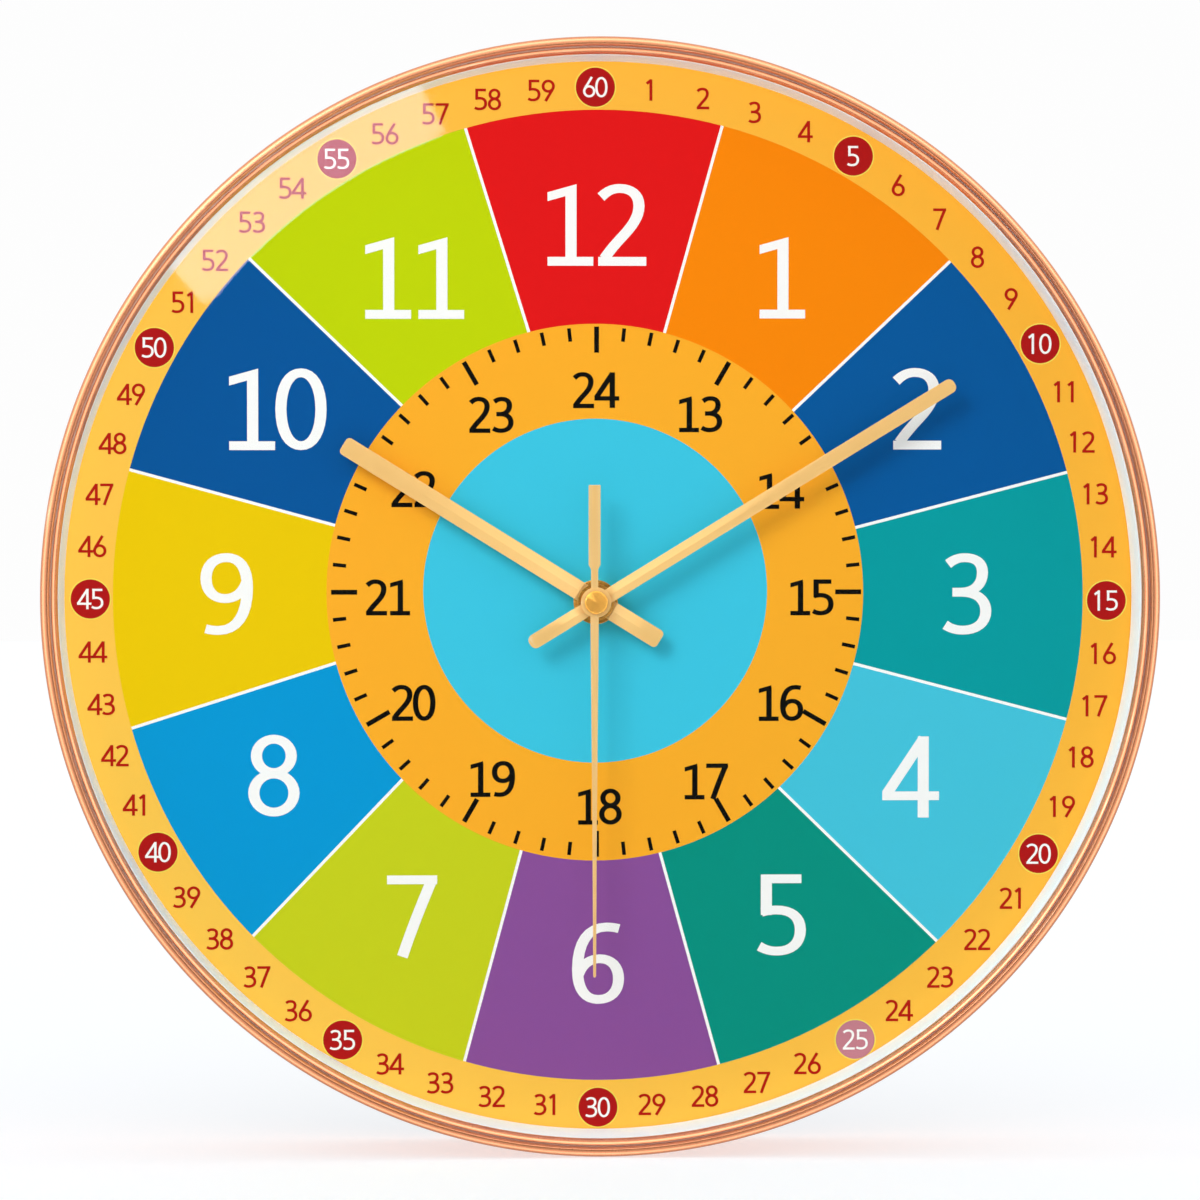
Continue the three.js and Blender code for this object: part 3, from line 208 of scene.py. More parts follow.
plasticLooks = {
    # injection moulded ABS with a fine spark-eroded texture
    "blackMouldedAbs": {"colour": "#232324", "cloudColour": "#1c1c1d", "wornColour": "#4a4a4c",
                        "cloudMm": 25, "grainMm": 0.45, "rough": (0.5, 0.68), "bump": 0.5, "bumpMm": 0.06},
    "greyMouldedAbs": {"colour": "#303134", "cloudColour": "#2a2b2e", "wornColour": "#5b5d61", "cloudMm": 9,
                       "grainMm": 0.3, "rough": (0.38, 0.52), "bump": 0.3, "bumpMm": 0.03},
    # white polystyrene, matt from the mould; its cool tint and faint glow are painted light, which whitens
    # the wall and cancels the orange light it catches from the ring
    "whitePolystyreneWithPaintedLight": {"colour": "#f6fbff", "cloudColour": "#f3f9ff", "wornColour": "#ffffff",
                         "cloudMm": 30, "grainMm": 0.4, "rough": (0.6, 0.75), "ior": 1.2, "bump": 0.15,
                         "bumpMm": 0.02, "paintedGlow": (0.05, 0.08, 0.09, 1)},
    # natural acetal: milky, a little waxy
    "naturalAcetal": {"colour": "#efece2", "cloudColour": "#e4e0d3", "wornColour": "#fbfaf5", "cloudMm": 6,
                      "grainMm": 0.3, "rough": (0.3, 0.42), "bump": 0.1, "bumpMm": 0.01},
    # black sheet rubber, dusty matt
    "sheetRubber": {"colour": "#1b1b1b", "cloudColour": "#242424", "wornColour": "#3a3a3a", "cloudMm": 3,
                    "grainMm": 0.2, "rough": (0.75, 0.9), "bump": 0.4, "bumpMm": 0.02},
    # phenolic circuit laminate: tan with a pressed paper weave
    "phenolicLaminate": {"colour": "#8f6a35", "cloudColour": "#7d5a2b", "wornColour": "#b18a50",
                         "cloudMm": 4, "grainMm": 0.4, "rough": (0.4, 0.55), "bump": 0.2, "bumpMm": 0.01},
    # sintered ferrite: dark, dry and grainy
    "sinteredFerrite": {"colour": "#3c3c3e", "cloudColour": "#333335", "wornColour": "#6a6a6d", "cloudMm": 2,
                        "grainMm": 0.12, "rough": (0.5, 0.65), "bump": 0.4, "bumpMm": 0.02, "metal": 0.4},
    # white coated card of the dial
    "coatedCard": {"colour": "#fdfdfb", "cloudColour": "#fafaf7", "wornColour": "#ffffff", "cloudMm": 40,
                   "grainMm": 0.3, "rough": (0.45, 0.6), "bump": 0.1, "bumpMm": 0.01},
    # shrink-wrapped film over a steel can: glossy, with slight haze
    "shrunkSleeve": {"colour": "#2f6ea3", "cloudColour": "#2a6496", "wornColour": "#d5d8da", "cloudMm": 8,
                     "grainMm": 0.3, "rough": (0.2, 0.3), "bump": 0.08, "bumpMm": 0.01, "coat": 0.5},
}
finishes = {name: shadeMaterial(name, look) for name, look in {**metalLooks, **plasticLooks}.items()}


copperWire = {
    "turnMm": 0.35,  # drawn wider apart than real turns, so that they show
    "shadow": "#6e3012",
    "light": "#c8763c",
    "depthMm": 0.1,
}
waveLength = 0.31416  # distance between two bands of a wave texture at a scale of 1


def windingMaterial():
    # enamelled copper wire in close turns
    material = emptyMaterial("enamelledCopper")
    space = addNode(material, "ShaderNodeTexCoord").outputs["Object"]
    turns = addNode(material, "ShaderNodeTexWave",
                    {"bands_direction": "X", "wave_profile": "SIN",
                     "Scale": waveLength / (copperWire["turnMm"] * mm), "Distortion": 0.4, "Detail": 1},
                    {"Vector": space})
    tone = addNode(material, "ShaderNodeMix",
                   {"data_type": "RGBA", 6: linearColour(copperWire["shadow"]),
                    7: linearColour(copperWire["light"])}, {0: turns.outputs["Fac"]})
    bump = addNode(material, "ShaderNodeBump", {"Strength": 0.7, "Distance": copperWire["depthMm"] * mm},
                   {"Height": turns.outputs["Fac"]})
    shader = addNode(material, "ShaderNodeBsdfPrincipled",
                     {"Metallic": 0.85, "Roughness": 0.32, "Coat Weight": 0.4},
                     {"Base Color": tone.outputs[2], "Normal": bump.outputs["Normal"]})
    addNode(material, "ShaderNodeOutputMaterial", links={"Surface": shader.outputs[0]})
    return material


floatGlass = {
    "tint": (0.992, 0.997, 0.995, 1),
    "ior": 1.5,
    "rough": 0.03,
    "rippleMm": 40,
    "rippleDepthMm": 0.5,
}


def paneMaterial():
    # clear float glass: lets light straight through and mirrors a little, more at a glance
    material = emptyMaterial("clearFloatGlass")
    space = addNode(material, "ShaderNodeTexCoord").outputs["Object"]
    ripple = addNode(material, "ShaderNodeTexNoise",
                     {"Scale": 1 / (floatGlass["rippleMm"] * mm), "Detail": 1}, {"Vector": space})
    bump = addNode(material, "ShaderNodeBump",
                   {"Strength": 0.02, "Distance": floatGlass["rippleDepthMm"] * mm},
                   {"Height": ripple.outputs["Fac"]})
    through = addNode(material, "ShaderNodeBsdfTransparent", {"Color": floatGlass["tint"]})
    mirror = addNode(material, "ShaderNodeBsdfGlossy",
                     {"Color": (1, 1, 1, 1), "Roughness": floatGlass["rough"]},
                     {"Normal": bump.outputs["Normal"]})
    share = addNode(material, "ShaderNodeFresnel", {"IOR": floatGlass["ior"]})
    front = addNode(material, "ShaderNodeMixShader", links={
        0: share.outputs[0], 1: through.outputs[0], 2: mirror.outputs[0]})
    # only the face a ray meets first mirrors, or light at a slant would never leave the pane
    leaving = addNode(material, "ShaderNodeNewGeometry").outputs["Backfacing"]
    mix = addNode(material, "ShaderNodeMixShader", links={
        0: leaving, 1: front.outputs[0], 2: through.outputs[0]})
    addNode(material, "ShaderNodeOutputMaterial", links={"Surface": mix.outputs[0]})
    return material


finishes["enamelledCopper"] = windingMaterial()
finishes["clearFloatGlass"] = paneMaterial()
print("finishes made:", len(finishes))

rim = {
    "outer": 150,
    "rear": 148.4,
    "bore": 147.5,
    "rearBore": 146.0,
    "rearCorner": 0.7,
    "cornerMiddle": (0.2, 0.12),  # how far in, and how far from the wall
    # the side swells from the rear corner through two handles of (inset, depth) to its full width
    "bulgeHandles": ((0.6, 8), (0, 16)),
    "bulgeEnd": 24,
    "bulgeSteps": 14,
    "front": 42.2,
    "rollPeak": 147.95,
    "rollHeight": 1.5,
    "rollSteps": 24,
    "boreDepth": 3.1,
    "flangeInner": 139,
    "flange": (19.9, 21.7),
    "steps": 288,
}


def rimSection():
    corner, (inset, lift) = rim["rearCorner"], rim["cornerMiddle"]
    points = [Vector((rim["rearBore"], 0)), Vector((rim["rear"] - corner, 0)),
              Vector((rim["rear"] - inset, lift)), Vector((rim["rear"], corner))]
    handles = [Vector((rim["outer"] - inwards, depth)) for inwards, depth in rim["bulgeHandles"]]
    bulge = interpolate_bezier(points[-1], *handles, Vector((rim["outer"], rim["bulgeEnd"])),
                               rim["bulgeSteps"])
    points += [Vector(p[:2]) for p in bulge[1:]]
    # the roll peaks near its inner side and falls away outwards
    peak, steps = rim["rollPeak"], rim["rollSteps"]
    for k in range(steps + 1):
        turn = math.radians(180 * k / steps)
        reach = rim["outer"] - peak if k <= steps / 2 else peak - rim["bore"]
        depth = rim["front"] - rim["rollHeight"] * (1 - math.sin(turn))
        points.append(Vector((peak + reach * math.cos(turn), depth)))
    rear, front = rim["flange"]
    inner = rim["flangeInner"]
    return points + [Vector((rim["bore"], rim["front"] - rim["boreDepth"])), Vector((rim["bore"], front)),
                     Vector((inner, front)), Vector((inner, rear)), Vector((rim["rearBore"], rear))]


spunPiece("rim_ring", rimSection(), finishes["roseGoldPlate"], "case", ["frame_ring"], "rose_gold_plate",
          rim["steps"], smoothAngle=40)

bezel = {
    # rises from the glass to a narrow crest beside the rim
    "section": [(147.2, 37.5, 0), (147.2, 39.4), (147.05, 39.8, 0.08), (146.6, 39.62, 0.2),
                (146.3, 39.4), (146.0, 39.05), (145.7, 38.5), (145.5, 37.9), (145.5, 37.5, 0)],
    "rounding": 0.1,
}
spunPiece("bezel_slope", softened(bezel["section"], bezel["rounding"]), finishes["roseGoldPlate"], "case",
          ["bezel_insert"], "rose_gold_plate", rim["steps"], smoothAngle=40)

glass = {
    "flatRadius": 130.4,
    "lipRadius": 145.5,
    "outer": 147.2,
    "rear": 35.2,
    "thickness": 2,
    "crown": 1.18,
    "edge": 0.3,
}


def glassSection():
    rear, front = glass["rear"], glass["rear"] + glass["thickness"]
    out, edge, lip, flat = glass["outer"], glass["edge"], glass["lipRadius"], glass["flatRadius"]
    return [(0, rear + glass["crown"]), (flat, rear + glass["crown"]), (lip, rear), (out - edge, rear),
            (out, rear + edge), (out, front - edge), (out - edge, front), (lip, front),
            (flat, front + glass["crown"]), (0, front + glass["crown"])]


spunPiece("glass_pane", glassSection(), finishes["clearFloatGlass"], "case", ["glass_lens"], "glass",
          smoothAngle=3)

spacer = {
    "section": [(144.7, 23.5, 0.2), (146.3, 23.5), (146.6, 33.7, 0.3), (147.2, 33.7), (147.2, 34.9),
                (145.5, 34.9, 0.3)],
    "rounding": 0.1,
}
spunPiece("spacer_wall", softened(spacer["section"], spacer["rounding"]), finishes["whitePolystyreneWithPaintedLight"],
          "case", ["spacer_ring"], "white_plastic")
print("rim, bezel, glass and spacer turned")

dial = {
    "face": 23.2,
    "rear": 22.0,
    "radius": 147.2,
    "hole": 4.25,
    "inkStep": 0.02,
    "inkThickness": 0.012,
    "strokeStep": 0.003,
    "printEdge": 146.6,
    "printHole": 4.4,
    "cardDrop": 0.01,  # from the lowest ink to the card
    "sectorCentre": (-0.12, 0.12),
    "ringCentre": (-1.24, 1.06),
    "discCentre": (-1.25, 1.53),
    "sectorInner": 60,
    "sectorOuter": 131.6,
    "underlap": 1,  # how far the sectors run on under the minute ring
    "sectorSteps": 24,
    "ringOuter": 72.8,
    "discRadius": 46.65,
    "dividerWidth": 0.8,
    # each white line between two sectors: its angle, and how far it passes the sectors' centre
    "dividers": [(15.6, -2.2), (46.5, -0.3), (75.4, -0.4), (104.7, 0.3), (134.2, 3.35), (164.5, 2.8),
                 (195.1, 2.5), (223.7, 4.3), (252.3, 4.5), (285.2, -0.25), (313.95, 0), (342.7, 3.0)],
    "sectorInks": ["#e21315", "#fa8800", "#00579c", "#009ca1", "#44c4de", "#009180", "#8a509a", "#c7d11c",
                   "#0098d6", "#edc900", "#00549a", "#c0d500"],
}


def inkDepth(layer):
    # depth of the face of ink layer 0 to 5, all behind the card's CAD face
    return dial["face"] - dial["inkStep"] * (5 - layer)


def flatPoint(point):
    # a point of the dial, drawn on Y = 0 until its sheet gets its depth
    return Vector((point[0], 0, point[1])) * mm


def thickSheet(bm, depth, thickness):
    # puts flat print or card at its depth and gives it its thickness backwards
    bmesh.ops.translate(bm, verts=bm.verts, vec=(0, (rimHalf - depth) * mm, 0))
    made = bmesh.ops.extrude_face_region(bm, geom=bm.faces[:])["geom"]
    moved = [g for g in made if isinstance(g, bmesh.types.BMVert)]
    bmesh.ops.translate(bm, verts=moved, vec=(0, thickness * mm, 0))


def inkSheet(bm, layer):
    thickSheet(bm, inkDepth(layer), dial["inkThickness"])


def washerSheet(bm, inner, innerCentre, outer, outerCentre, steps=192):
    # a flat ring whose hole need not be in its middle
    rings = []
    for radius, centre in ((inner, innerCentre), (outer, outerCentre)):
        turn = Matrix.Translation(flatPoint(centre)) @ Matrix.Rotation(math.pi / 2, 4, "X")
        made = bmesh.ops.create_circle(bm, segments=steps, radius=radius * mm, matrix=turn)
        rings += list({edge for v in made["verts"] for edge in v.link_edges})
    bmesh.ops.bridge_loops(bm, edges=rings)


def stripSheet(bm, marks, closed=False, lift=0):
    # a flat strip through pairs of points, made by extruding its first edge
    if closed:
        marks = marks + marks[:1]
    rise = Vector((0, -lift * mm, 0))
    left, right = (bm.verts.new(flatPoint(p) + rise) for p in marks[0])
    edge = bm.edges.new((left, right))
    for nextLeft, nextRight in marks[1:]:
        made = bmesh.ops.extrude_edge_only(bm, edges=[edge])["geom"]
        newVerts = [g for g in made if isinstance(g, bmesh.types.BMVert)]
        edge = next(g for g in made if isinstance(g, bmesh.types.BMEdge) and set(g.verts) == set(newVerts))
        swapped = any(e.other_vert(newVerts[0]) is right for e in newVerts[0].link_edges)
        left, right = (newVerts[1], newVerts[0]) if swapped else newVerts
        left.co = flatPoint(nextLeft) + rise
        right.co = flatPoint(nextRight) + rise


def inkRing(name, inner, innerCentre, outer, outerCentre, layer, ink):
    bm = bmesh.new()
    washerSheet(bm, inner, innerCentre, outer, outerCentre)
    inkSheet(bm, layer)
    finishPiece(bm, name, [ink], "case", slot="dial_print")


def dialCard():
    bm = bmesh.new()
    washerSheet(bm, dial["hole"], handAxis, dial["radius"], (0, 0))
    face = inkDepth(0) - dial["cardDrop"]
    thickSheet(bm, face, face - dial["rear"])
    finishPiece(bm, "dial_card", [finishes["coatedCard"]], "case", ["dial_plate"], "dial_print")


def dialSectors():
    bm = bmesh.new()
    inks = []
    steps = dial["sectorSteps"]
    for i, (endAngle, endOffset) in enumerate(dial["dividers"]):
        startAngle, startOffset = dial["dividers"][i - 1]
        if i == 0:
            startAngle -= 360
        marks = []
        for k in range(steps + 1):
            pair = []
            for radius in (dial["sectorInner"], dial["sectorOuter"] + dial["underlap"]):
                start = startAngle + math.degrees((startOffset + dial["dividerWidth"] / 2) / radius)
                end = endAngle + math.degrees((endOffset - dial["dividerWidth"] / 2) / radius)
                pair.append(dialPlace(start + (end - start) * k / steps, radius, dial["sectorCentre"]))
            marks.append(pair)
        before = set(bm.faces)
        stripSheet(bm, marks)
        for face in bm.faces:
            if face not in before:
                face.material_index = i
        inks.append(inkMaterial(f"sectorInk{i if i else 12}", dial["sectorInks"][i]))
    inkSheet(bm, 0)
    finishPiece(bm, "dial_sectors", inks, "case", slot="dial_print")


dialCard()
dialSectors()
# the minute ring is a little paler at its lower left than at its upper right: painted light, the ink
# lightened on the side where more light falls
minuteInkWithPaintedLight = inkMaterial("minuteRingInkWithPaintedLight", "#fdc951", "#fdb73a", across=138, acrossTurn=30)
inkRing("dial_minute_ring", dial["sectorOuter"], dial["sectorCentre"], dial["printEdge"], (0, 0), 1,
        minuteInkWithPaintedLight)
# the hour ring runs on under the disc
inkRing("dial_hour_ring", dial["discRadius"] / 2, handAxis, dial["ringOuter"], dial["ringCentre"], 1,
        inkMaterial("hourRingInk", "#fdaf2a"))
inkRing("dial_disc", dial["printHole"], handAxis, dial["discRadius"], dial["discCentre"], 2,
        inkMaterial("discInk", "#3cc6e4"))
print("dial fields printed")

# Strokes of each figure as curve points in a box one unit high. L joins points with straight lines,
# V does too but cuts the ends upright, and C reads them as knot, handle, handle, knot and so on.
# O is an oval: centre, half width, half height and the length of its handles.
roundHandle = 0.5523  # handles of this share of the radius make a true round
figures = {
    "0": {"width": 0.626, "left": -0.036, "strokes": [("O", (0.313, 0.5), 0.245, 0.446, 0.6)]},
    "1": {"width": 0.56, "left": 0.05, "strokes": [
        ("V", (0, 0.843), (0.355, 0.943)), ("L", (0.287, 0), (0.287, 0.94)),
        ("L", (0, 0.054), (0.56, 0.054))]},
    "2": {"width": 0.61, "left": 0, "strokes": [
        ("C", (0.055, 0.84), (0.13, 0.915), (0.20, 0.946), (0.285, 0.946), (0.43, 0.946), (0.52, 0.865),
         (0.52, 0.735), (0.52, 0.60), (0.44, 0.49), (0.32, 0.36), (0.23, 0.265), (0.15, 0.17),
         (0.095, 0.085)),
        ("L", (0.02, 0.054), (0.61, 0.054))]},
    "3": {"width": 0.58, "left": 0.03, "strokes": [
        ("C", (0.045, 0.868), (0.11, 0.92), (0.17, 0.946), (0.255, 0.946), (0.39, 0.946), (0.47, 0.88),
         (0.47, 0.765), (0.47, 0.62), (0.375, 0.525), (0.21, 0.521)),
        ("L", (0.10, 0.521), (0.23, 0.521)),
        ("C", (0.21, 0.521), (0.40, 0.521), (0.512, 0.43), (0.512, 0.29), (0.512, 0.145), (0.40, 0.054),
         (0.23, 0.054), (0.145, 0.054), (0.075, 0.075), (0.01, 0.12))]},
    "4": {"width": 0.70, "left": -0.03, "strokes": [
        ("L", (0.51, 0.975), (0.05, 0.285)), ("L", (0, 0.268), (0.70, 0.268)),
        ("L", (0.505, 0), (0.505, 1))]},
    "5": {"width": 0.575, "left": 0.04, "strokes": [
        ("L", (0.022, 0.946), (0.52, 0.946)), ("L", (0.088, 0.50), (0.088, 1)),
        ("C", (0.03, 0.535), (0.10, 0.556), (0.16, 0.562), (0.215, 0.562), (0.40, 0.562), (0.508, 0.47),
         (0.508, 0.315), (0.508, 0.15), (0.395, 0.054), (0.22, 0.054), (0.13, 0.054), (0.07, 0.075),
         (0.0, 0.115))]},
    "6": {"width": 0.64, "left": 0.01, "strokes": [
        ("C", (0.578, 0.925), (0.53, 0.94), (0.475, 0.946), (0.42, 0.946), (0.20, 0.946), (0.0675, 0.76),
         (0.0675, 0.42), (0.0675, 0.18), (0.16, 0.054), (0.322, 0.054)),
        ("C", (0.29, 0.055), (0.30, 0.0545), (0.31, 0.054), (0.322, 0.054), (0.48, 0.054), (0.572, 0.16),
         (0.572, 0.31), (0.572, 0.455), (0.485, 0.556), (0.34, 0.556), (0.215, 0.556), (0.12, 0.48),
         (0.078, 0.36))]},
    "7": {"width": 0.63, "left": 0.01, "strokes": [
        ("L", (0, 0.946), (0.615, 0.946)), ("C", (0.56, 0.97), (0.43, 0.66), (0.30, 0.34), (0.187, 0))]},
    "8": {"width": 0.63, "left": 0, "strokes": [
        ("O", (0.313, 0.744), 0.213, 0.205, roundHandle),
        ("O", (0.313, 0.288), 0.246, 0.234, roundHandle)]},
}


def turnedFigure(figure):
    # a nine is a six turned half round
    width = figure["width"]
    return {"width": width, "left": figure["left"], "strokes": [
        (stroke[0], *[(width - x, 1 - y) for x, y in stroke[1:]]) for stroke in figure["strokes"]]}


figures["9"] = turnedFigure(figures["6"])
# the small minute figures have a one without a foot, and straight backs on six and nine
smallFigures = dict(figures)
smallFigures["1"] = {"width": 0.26, "left": 0.11, "strokes": [
    ("L", (0, 0.80), (0.215, 0.965)), ("L", (0.20, 0), (0.20, 1))]}
smallFigures["6"] = {"width": 0.60, "left": 0.03, "strokes": [
    ("L", (0.43, 1), (0.10, 0.45)), ("O", (0.30, 0.295), 0.245, 0.245, roundHandle)]}
smallFigures["9"] = turnedFigure({**smallFigures["6"], "strokes": smallFigures["6"]["strokes"][:1]})
smallFigures["9"]["strokes"].append(("O", (0.30, 0.705), 0.245, 0.245, roundHandle))


def strokePoints(stroke, steps=9):
    # the centre line of one stroke, and whether it closes
    kind = stroke[0]
    if kind in "LV":
        return [Vector(p) for p in stroke[1:]], False
    if kind == "O":
        (cx, cy), rx, ry, k = stroke[1:]
        knots = []
        for x, y, hx, hy in ((0, 1, 1, 0), (1, 0, 0, -1), (0, -1, -1, 0), (-1, 0, 0, 1)):
            knots.append((Vector((cx + x * rx, cy + y * ry)), Vector((hx * rx * k, hy * ry * k))))
        points = []
        for i, (knot, handle) in enumerate(knots):
            after, afterHandle = knots[(i + 1) % 4]
            points += interpolate_bezier(knot, knot + handle, after - afterHandle, after, steps)[:-1]
        return points, True
    points = []
    for i in range(1, len(stroke) - 3, 3):
        knot, handle, otherHandle, after = (Vector(p) for p in stroke[i:i + 4])
        points += interpolate_bezier(knot, handle, otherHandle, after, steps)[:-1]
    return points + [Vector(stroke[-1])], False


def inkStroke(bm, points, closed, pen, lift=0, upright=False):
    # sweeps a pen of (side, level) half widths along the points
    count = len(points)
    marks = []
    for i, point in enumerate(points):
        before = points[i - 1] if i or closed else point
        after = points[(i + 1) % count] if i < count - 1 or closed else point
        along = (after - before).normalized()
        across = Vector((0, 1)) if upright else Vector((-along.y, along.x))
        half = math.hypot(pen[0] * across.x, pen[1] * across.y)
        marks.append((point + across * half, point - across * half))
    stripSheet(bm, marks, closed, lift)


def inkNumber(bm, text, middle, height, style, pen):
    # draws a number with the middle of its outline at a point of the dial, in mm
    first, last = style[text[0]], style[text[-1]]
    advance = numerals["advance"]
    lowX = first["left"]
    highX = (len(text) - 1) * advance + last["left"] + last["width"]
    origin = Vector(((lowX + highX) / 2, 0.5))
    for i, digit in enumerate(text):
        shift = Vector((i * advance + style[digit]["left"], 0)) - origin
        for layer, stroke in enumerate(style[digit]["strokes"]):
            points, closed = strokePoints(stroke)
            placed = [(p.to_2d() + shift) * height + middle for p in points]
            # each stroke lies a hair above the one before, so that no two faces share a place
            inkStroke(bm, placed, closed, (pen[0] * height, pen[1] * height), layer * dial["strokeStep"],
                      stroke[0] == "V")


def printedNumbers(name, numbers, ink, layer, height, style, pen):
    bm = bmesh.new()
    for text, middle in numbers:
        inkNumber(bm, text, Vector(middle), height, style, pen)
    bmesh.ops.remove_doubles(bm, verts=bm.verts, dist=1e-7)
    inkSheet(bm, layer)
    finishPiece(bm, name, [ink], "case", slot="dial_print")


numerals = {
    "advance": 0.65,  # from one digit to the next, as a share of their height
    "hourHeight": 22.1,
    "hourPen": (0.068, 0.054),
    # middles of the hour numbers, in mm right of and above the middle of the rim
    "hourCentres": {1: (49.5, 86.4), 2: (86.0, 50.9), 3: (100.1, 0.6), 4: (84.6, -49.2), 5: (49.7, -86.7),
                    6: (-0.5, -99.7), 7: (-50.8, -86.7), 8: (-88.3, -48.5), 9: (-101.0, 0.75),
                    10: (-87.1, 50.7), 11: (-50.1, 86.2), 12: (-0.8, 100.6)},
    "dayHeight": 9.6,
    "dayPen": (0.076, 0.062),
    "dayCentres": {13: (27.3, 49.4), 14: (49.4, 28.6), 15: (57.6, -0.3), 16: (49.2, -29.0),
                   17: (29.0, -50.3), 18: (0.0, -57.1), 19: (-29.1, -49.5), 20: (-50.6, -28.8),
                   21: (-57.5, -0.2), 22: (-50.6, 29.1), 23: (-29.5, 49.2), 24: (-1.1, 55.9)},
    "minuteHeight": 5.75,
    "minuteCentre": (-0.14, -0.7),
    "minuteReach": (138.05, 138.75),
    "minutePen": (0.068, 0.062),
    "fiveHeight": 5.5,
    "fivePen": (0.058, 0.053),
    # how far the print of every fifth minute, from 60 on, lies off the even round, right and up
    "minuteShifts": [(-1.08, -0.27), (-0.13, -0.13), (0.27, -0.13), (0, -0.54), (0.13, -0.13), (0.67, 0.13),
                     (-0.4, 0.54), (-0.67, 0.54), (0, 0.94), (0.4, 0.13), (-0.67, -1.35), (-1.9, -1.2)],
    "spotRadius": 5.3,
    "haloWidth": 0.35,
}
whiteInk = inkMaterial("whiteInk", "#fbfbfa")
blackInk = inkMaterial("blackInk", "#050604")
darkRedInk = inkMaterial("darkRedInk", "#b3170c")
# the pale mauve of the spot of 25 is a painted reflection, not ink
spotInk = inkMaterial("spotInk", "#ae1515")
paintedReflectionSpotInk = inkMaterial("paintedReflectionSpotInk", "#c47f8c")
haloInk = inkMaterial("haloInk", "#fbe05c")

for name, centres, ink, height, pen in (
        ("dial_hours", numerals["hourCentres"], whiteInk, numerals["hourHeight"], numerals["hourPen"]),
        ("dial_day_hours", numerals["dayCentres"], blackInk, numerals["dayHeight"], numerals["dayPen"])):
    printedNumbers(name, [(str(hour), spot) for hour, spot in centres.items()], ink, 3, height, figures, pen)


def minuteSpot(minute):
    turn = math.radians(minute * 6)
    centre, reach, shifts = numerals["minuteCentre"], numerals["minuteReach"], numerals["minuteShifts"]
    before, share = divmod(minute / 5, 1)
    shift = Vector(shifts[int(before) % 12]).lerp(Vector(shifts[(int(before) + 1) % 12]), share)
    return shift + Vector((centre[0] + reach[0] * math.sin(turn), centre[1] + reach[1] * math.cos(turn)))


minutes = {minute: minuteSpot(minute) for minute in range(1, 61)}
fives = [(str(m), spot) for m, spot in minutes.items() if m % 5 == 0]
printedNumbers("dial_minutes", [(str(m), spot) for m, spot in minutes.items() if m % 5], darkRedInk, 3,
               numerals["minuteHeight"], smallFigures, numerals["minutePen"])
printedNumbers("dial_fives", fives, whiteInk, 5, numerals["fiveHeight"], smallFigures, numerals["fivePen"])


def minuteSpots(name, numbers, radius, ink, layer):
    bm = bmesh.new()
    for text, middle in numbers:
        turn = Matrix.Translation(flatPoint(middle)) @ Matrix.Rotation(math.pi / 2, 4, "X")
        bmesh.ops.create_circle(bm, cap_ends=True, segments=48, radius=radius * mm, matrix=turn)
    inkSheet(bm, layer)
    finishPiece(bm, name, [ink], "case", slot="dial_print")


# the spot of 25 is painted paler than the others: a painted reflection, a pale mauve veil over its red print
pale = [(text, middle) for text, middle in fives if text == "25"]
minuteSpots("dial_halos", fives, numerals["spotRadius"] + numerals["haloWidth"], haloInk, 3)
minuteSpots("dial_spots", [spot for spot in fives if spot not in pale], numerals["spotRadius"], spotInk, 4)
minuteSpots("dial_spot_painted_reflection", pale, numerals["spotRadius"], paintedReflectionSpotInk, 4)

ticks = {
    "centre": (-0.9, 1.2),
    # inner end, outer end and width
    "long": (64.85, 71.9, 1.3),
    "short": (68.2, 71.8, 1.0),
}


def dialTicks():
    bm = bmesh.new()
    for i in range(60):
        inner, outer, width = ticks["short"] if i % 5 else ticks["long"]
        ends = [dialPlace(i * 6, r, ticks["centre"]) for r in (inner, outer)]
        inkStroke(bm, ends, False, (width / 2, width / 2))
    inkSheet(bm, 3)
    finishPiece(bm, "dial_ticks", [blackInk], "case", slot="dial_print")


dialTicks()
print("numerals and ticks printed")

# "aside" is how far each hand's middle line passes beside its axis, as the photograph shows, and "sink" is
# where its blade leaves the hub
hourHand = {"angle": 301.8, "length": 80.3, "width": 5.1, "tail": 20.3, "hub": 6, "rear": 27.2,
            "thickness": 0.5, "ridge": 0.75, "endRound": 1.2, "bore": 3.6, "sink": 5.3, "aside": 0.3}
minuteHand = {"angle": 58.45, "length": 113.6, "width": 3.9, "tail": 21.1, "hub": 4.95, "rear": 29.2,
              "thickness": 0.5, "ridge": 0.5, "endRound": 1.65, "bore": 2.65, "sink": 4.25, "aside": 0.37}
# blade and tail are stations of distance and half width
secondHand = {"angle": 180, "rear": 31.6, "thickness": 0.4, "ridge": 0.05, "hub": 4.1, "bore": 0.8,
              "aside": 0.42, "blade": [(1.5, 1.15), (60, 0.6), (100.8, 0.39), (101.15, 0.3), (101.3, 0.12)],
              "tail": [(1.5, 0.95), (8.9, 0.95), (10.1, 1.6), (31.45, 1.6), (31.65, 1.45)]}
hubRounding = 0.12


def blade(bm, stations, hand, thickness, direction):
    # extrudes a ridged section along Z through stations of (distance, half width, ridge)
    def section(distance, half, ridge):
        rear, top = hand["rear"], hand["rear"] + thickness
        shape = ((-half, rear), (-half, top), (0, top + ridge), (half, top), (half, rear))
        return [place(x + hand["aside"], direction * distance, d) for x, d in shape]

    before = section(*stations[0])
    face = bm.faces.new([bm.verts.new(p) for p in before])
    for station in stations[1:]:
        face = bmesh.ops.extrude_discrete_faces(bm, faces=[face])["faces"][0]
        marks = section(*station)
        for v in face.verts:
            nearest = min(range(len(before)), key=lambda i: (before[i] - v.co).length)
            v.co = marks[nearest]
        before = marks


